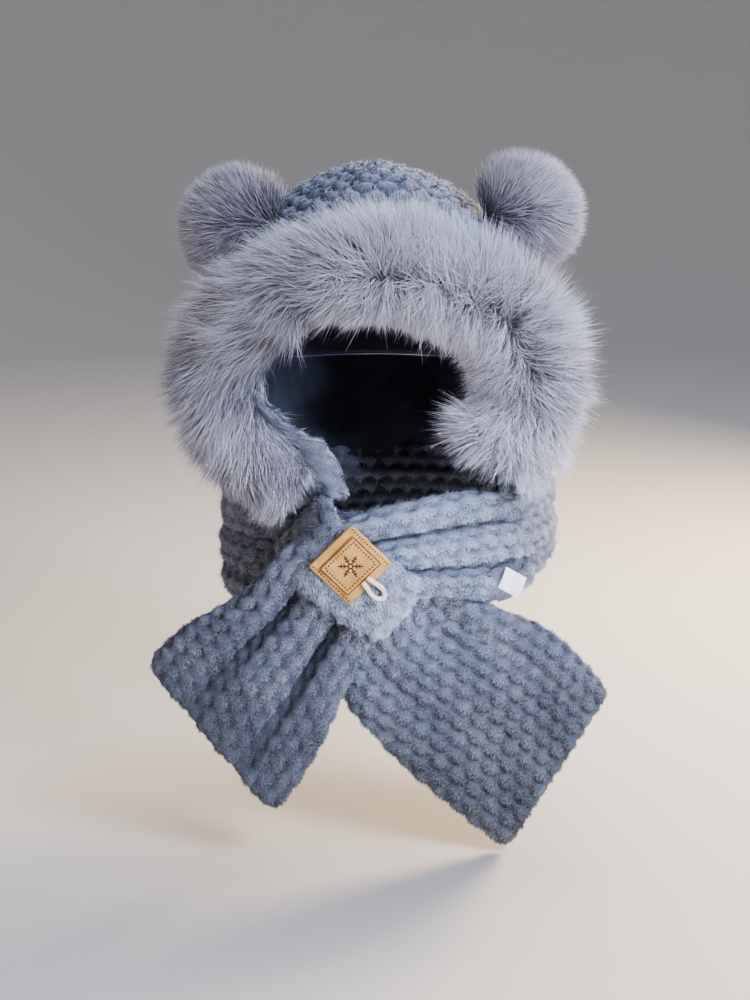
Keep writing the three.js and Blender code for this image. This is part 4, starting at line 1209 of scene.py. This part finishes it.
# ---- The cord loop
# A loop of cream cotton cord, 3.8 mm thick and twisted of three strands. Both its ends go in under
# the upper leather square.
LOOP_DIAMETER = 3.8
loop_route = [
    (0, -2.6), (5.5, -3.5), (11, -4.5), (15.5, -4.3), (18.8, -2.4), (20, 0),
    (18.8, 2.4), (15.5, 4.3), (11, 4.5), (5.5, 3.5), (0, 2.6),
]
loop_away = np.array([math.cos(PATCH_TURN), 0, -math.sin(PATCH_TURN)])
loop_beside = np.array([math.sin(PATCH_TURN), 0, math.cos(PATCH_TURN)])
loop_start = np.array([PATCH_X, BASE_Y - GAP - LOOP_DIAMETER / 2, PATCH_Z]) + loop_away * 15.8
loop_line = [loop_start + a * loop_away + b * loop_beside for a, b in loop_route]
loop_line = through_points(loop_line, np.linspace(0, 1, 400))
LOOP_ROWS, LOOP_SIDES = 110, 24
loop_middle = even(loop_line, np.linspace(0, 1, LOOP_ROWS))
loop_length = np.linalg.norm(np.diff(loop_line, axis=0), axis=1).sum()
loop_run = unit(np.gradient(loop_middle, axis=0))
loop_flat = unit(np.cross(loop_run, [0, 1, 0]))
turn = all_round(LOOP_SIDES)
# three strands, one full twist every 9 mm
twist = np.linspace(0, loop_length, LOOP_ROWS) / 9 * 2 * math.pi
strand = np.abs(np.cos(1.5 * (turn - twist[:, None])))
radius = LOOP_DIAMETER / 2 * mix(0.8, 1.0, strand**0.7)
loop_points = (
    loop_middle[:, None]
    + loop_flat[:, None] * (np.cos(turn) * radius)[..., None]
    + np.array([0, 1, 0]) * (np.sin(turn) * radius)[..., None]
)
# Cream cotton: dull, with a little lint.
cotton = grained_material(
    "twisted_cotton_cord", [(0.25, "#cfc2b0"), (0.6, "#efe6d8"), (0.9, "#fbf6ec")],
    {"Scale": 1600, "Detail": 3}, (0.5, 0.0003), Roughness=0.85, Sheen_Weight=0.3,
)
loop = tube_piece("cord_of_cotton", loop_points, cotton)
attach(loop, "root")
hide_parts("cord_loop")

# ---- The care label
# A short strip of white woven satin, its text left off. It is sewn in at the top edge of the lower
# right end and lies against the front of the right strand.
LABEL_LENGTH, LABEL_WIDTH = 28.0, 18.0
LABEL_ROWS, LABEL_COLUMNS = 40, 26
label_yaw = Matrix.Rotation(math.atan2(label_run[1], label_run[0]), 3, "Z")
label_turn = np.array(label_yaw @ Matrix.Rotation(math.radians(31), 3, "Y"))
a, b = np.meshgrid(np.linspace(-0.5, 0.5, LABEL_ROWS), np.linspace(-0.5, 0.5, LABEL_COLUMNS), indexing="ij")
curl = 0.9 * np.cos(a * math.pi) - 0.5 * np.cos(b * math.pi * 2)
sides = []
for through in (-0.25, 0.25):
    local = np.stack([a * LABEL_LENGTH, curl * 0.6 + through, b * LABEL_WIDTH], axis=-1)
    sides.append(label_centre + local @ label_turn.T)
# Satin threads 0.2 mm apart are drawn 0.5 mm apart, so that they still show.
threads = {"wave_type": "BANDS", "bands_direction": "DIAGONAL"}
satin = grained_material(
    "woven_satin_ribbon", [(0.3, "#dcdce8"), (0.7, "#f7f7fc")], {"Scale": 120, "Detail": 2}, (0.25, 0.0002),
    ("TexWave", "Fac", threads, {"Scale": 640}), Roughness=0.38, Sheen_Weight=0.2, Anisotropic=0.4,
)
front = grid_faces(LABEL_ROWS, LABEL_COLUMNS)
places = np.arange(a.size).reshape(a.shape)
rim = np.concatenate([places[0], places[1:, -1], places[-1, -2::-1], places[-2::-1, 0]])
label_faces = np.vstack([front, front[:, ::-1] + a.size, edge_faces(rim, a.size)])
label = mesh_piece("care_label_satin", np.array(sides).reshape(-1, 3), label_faces, satin)
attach(label, "root")
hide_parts("care_label")
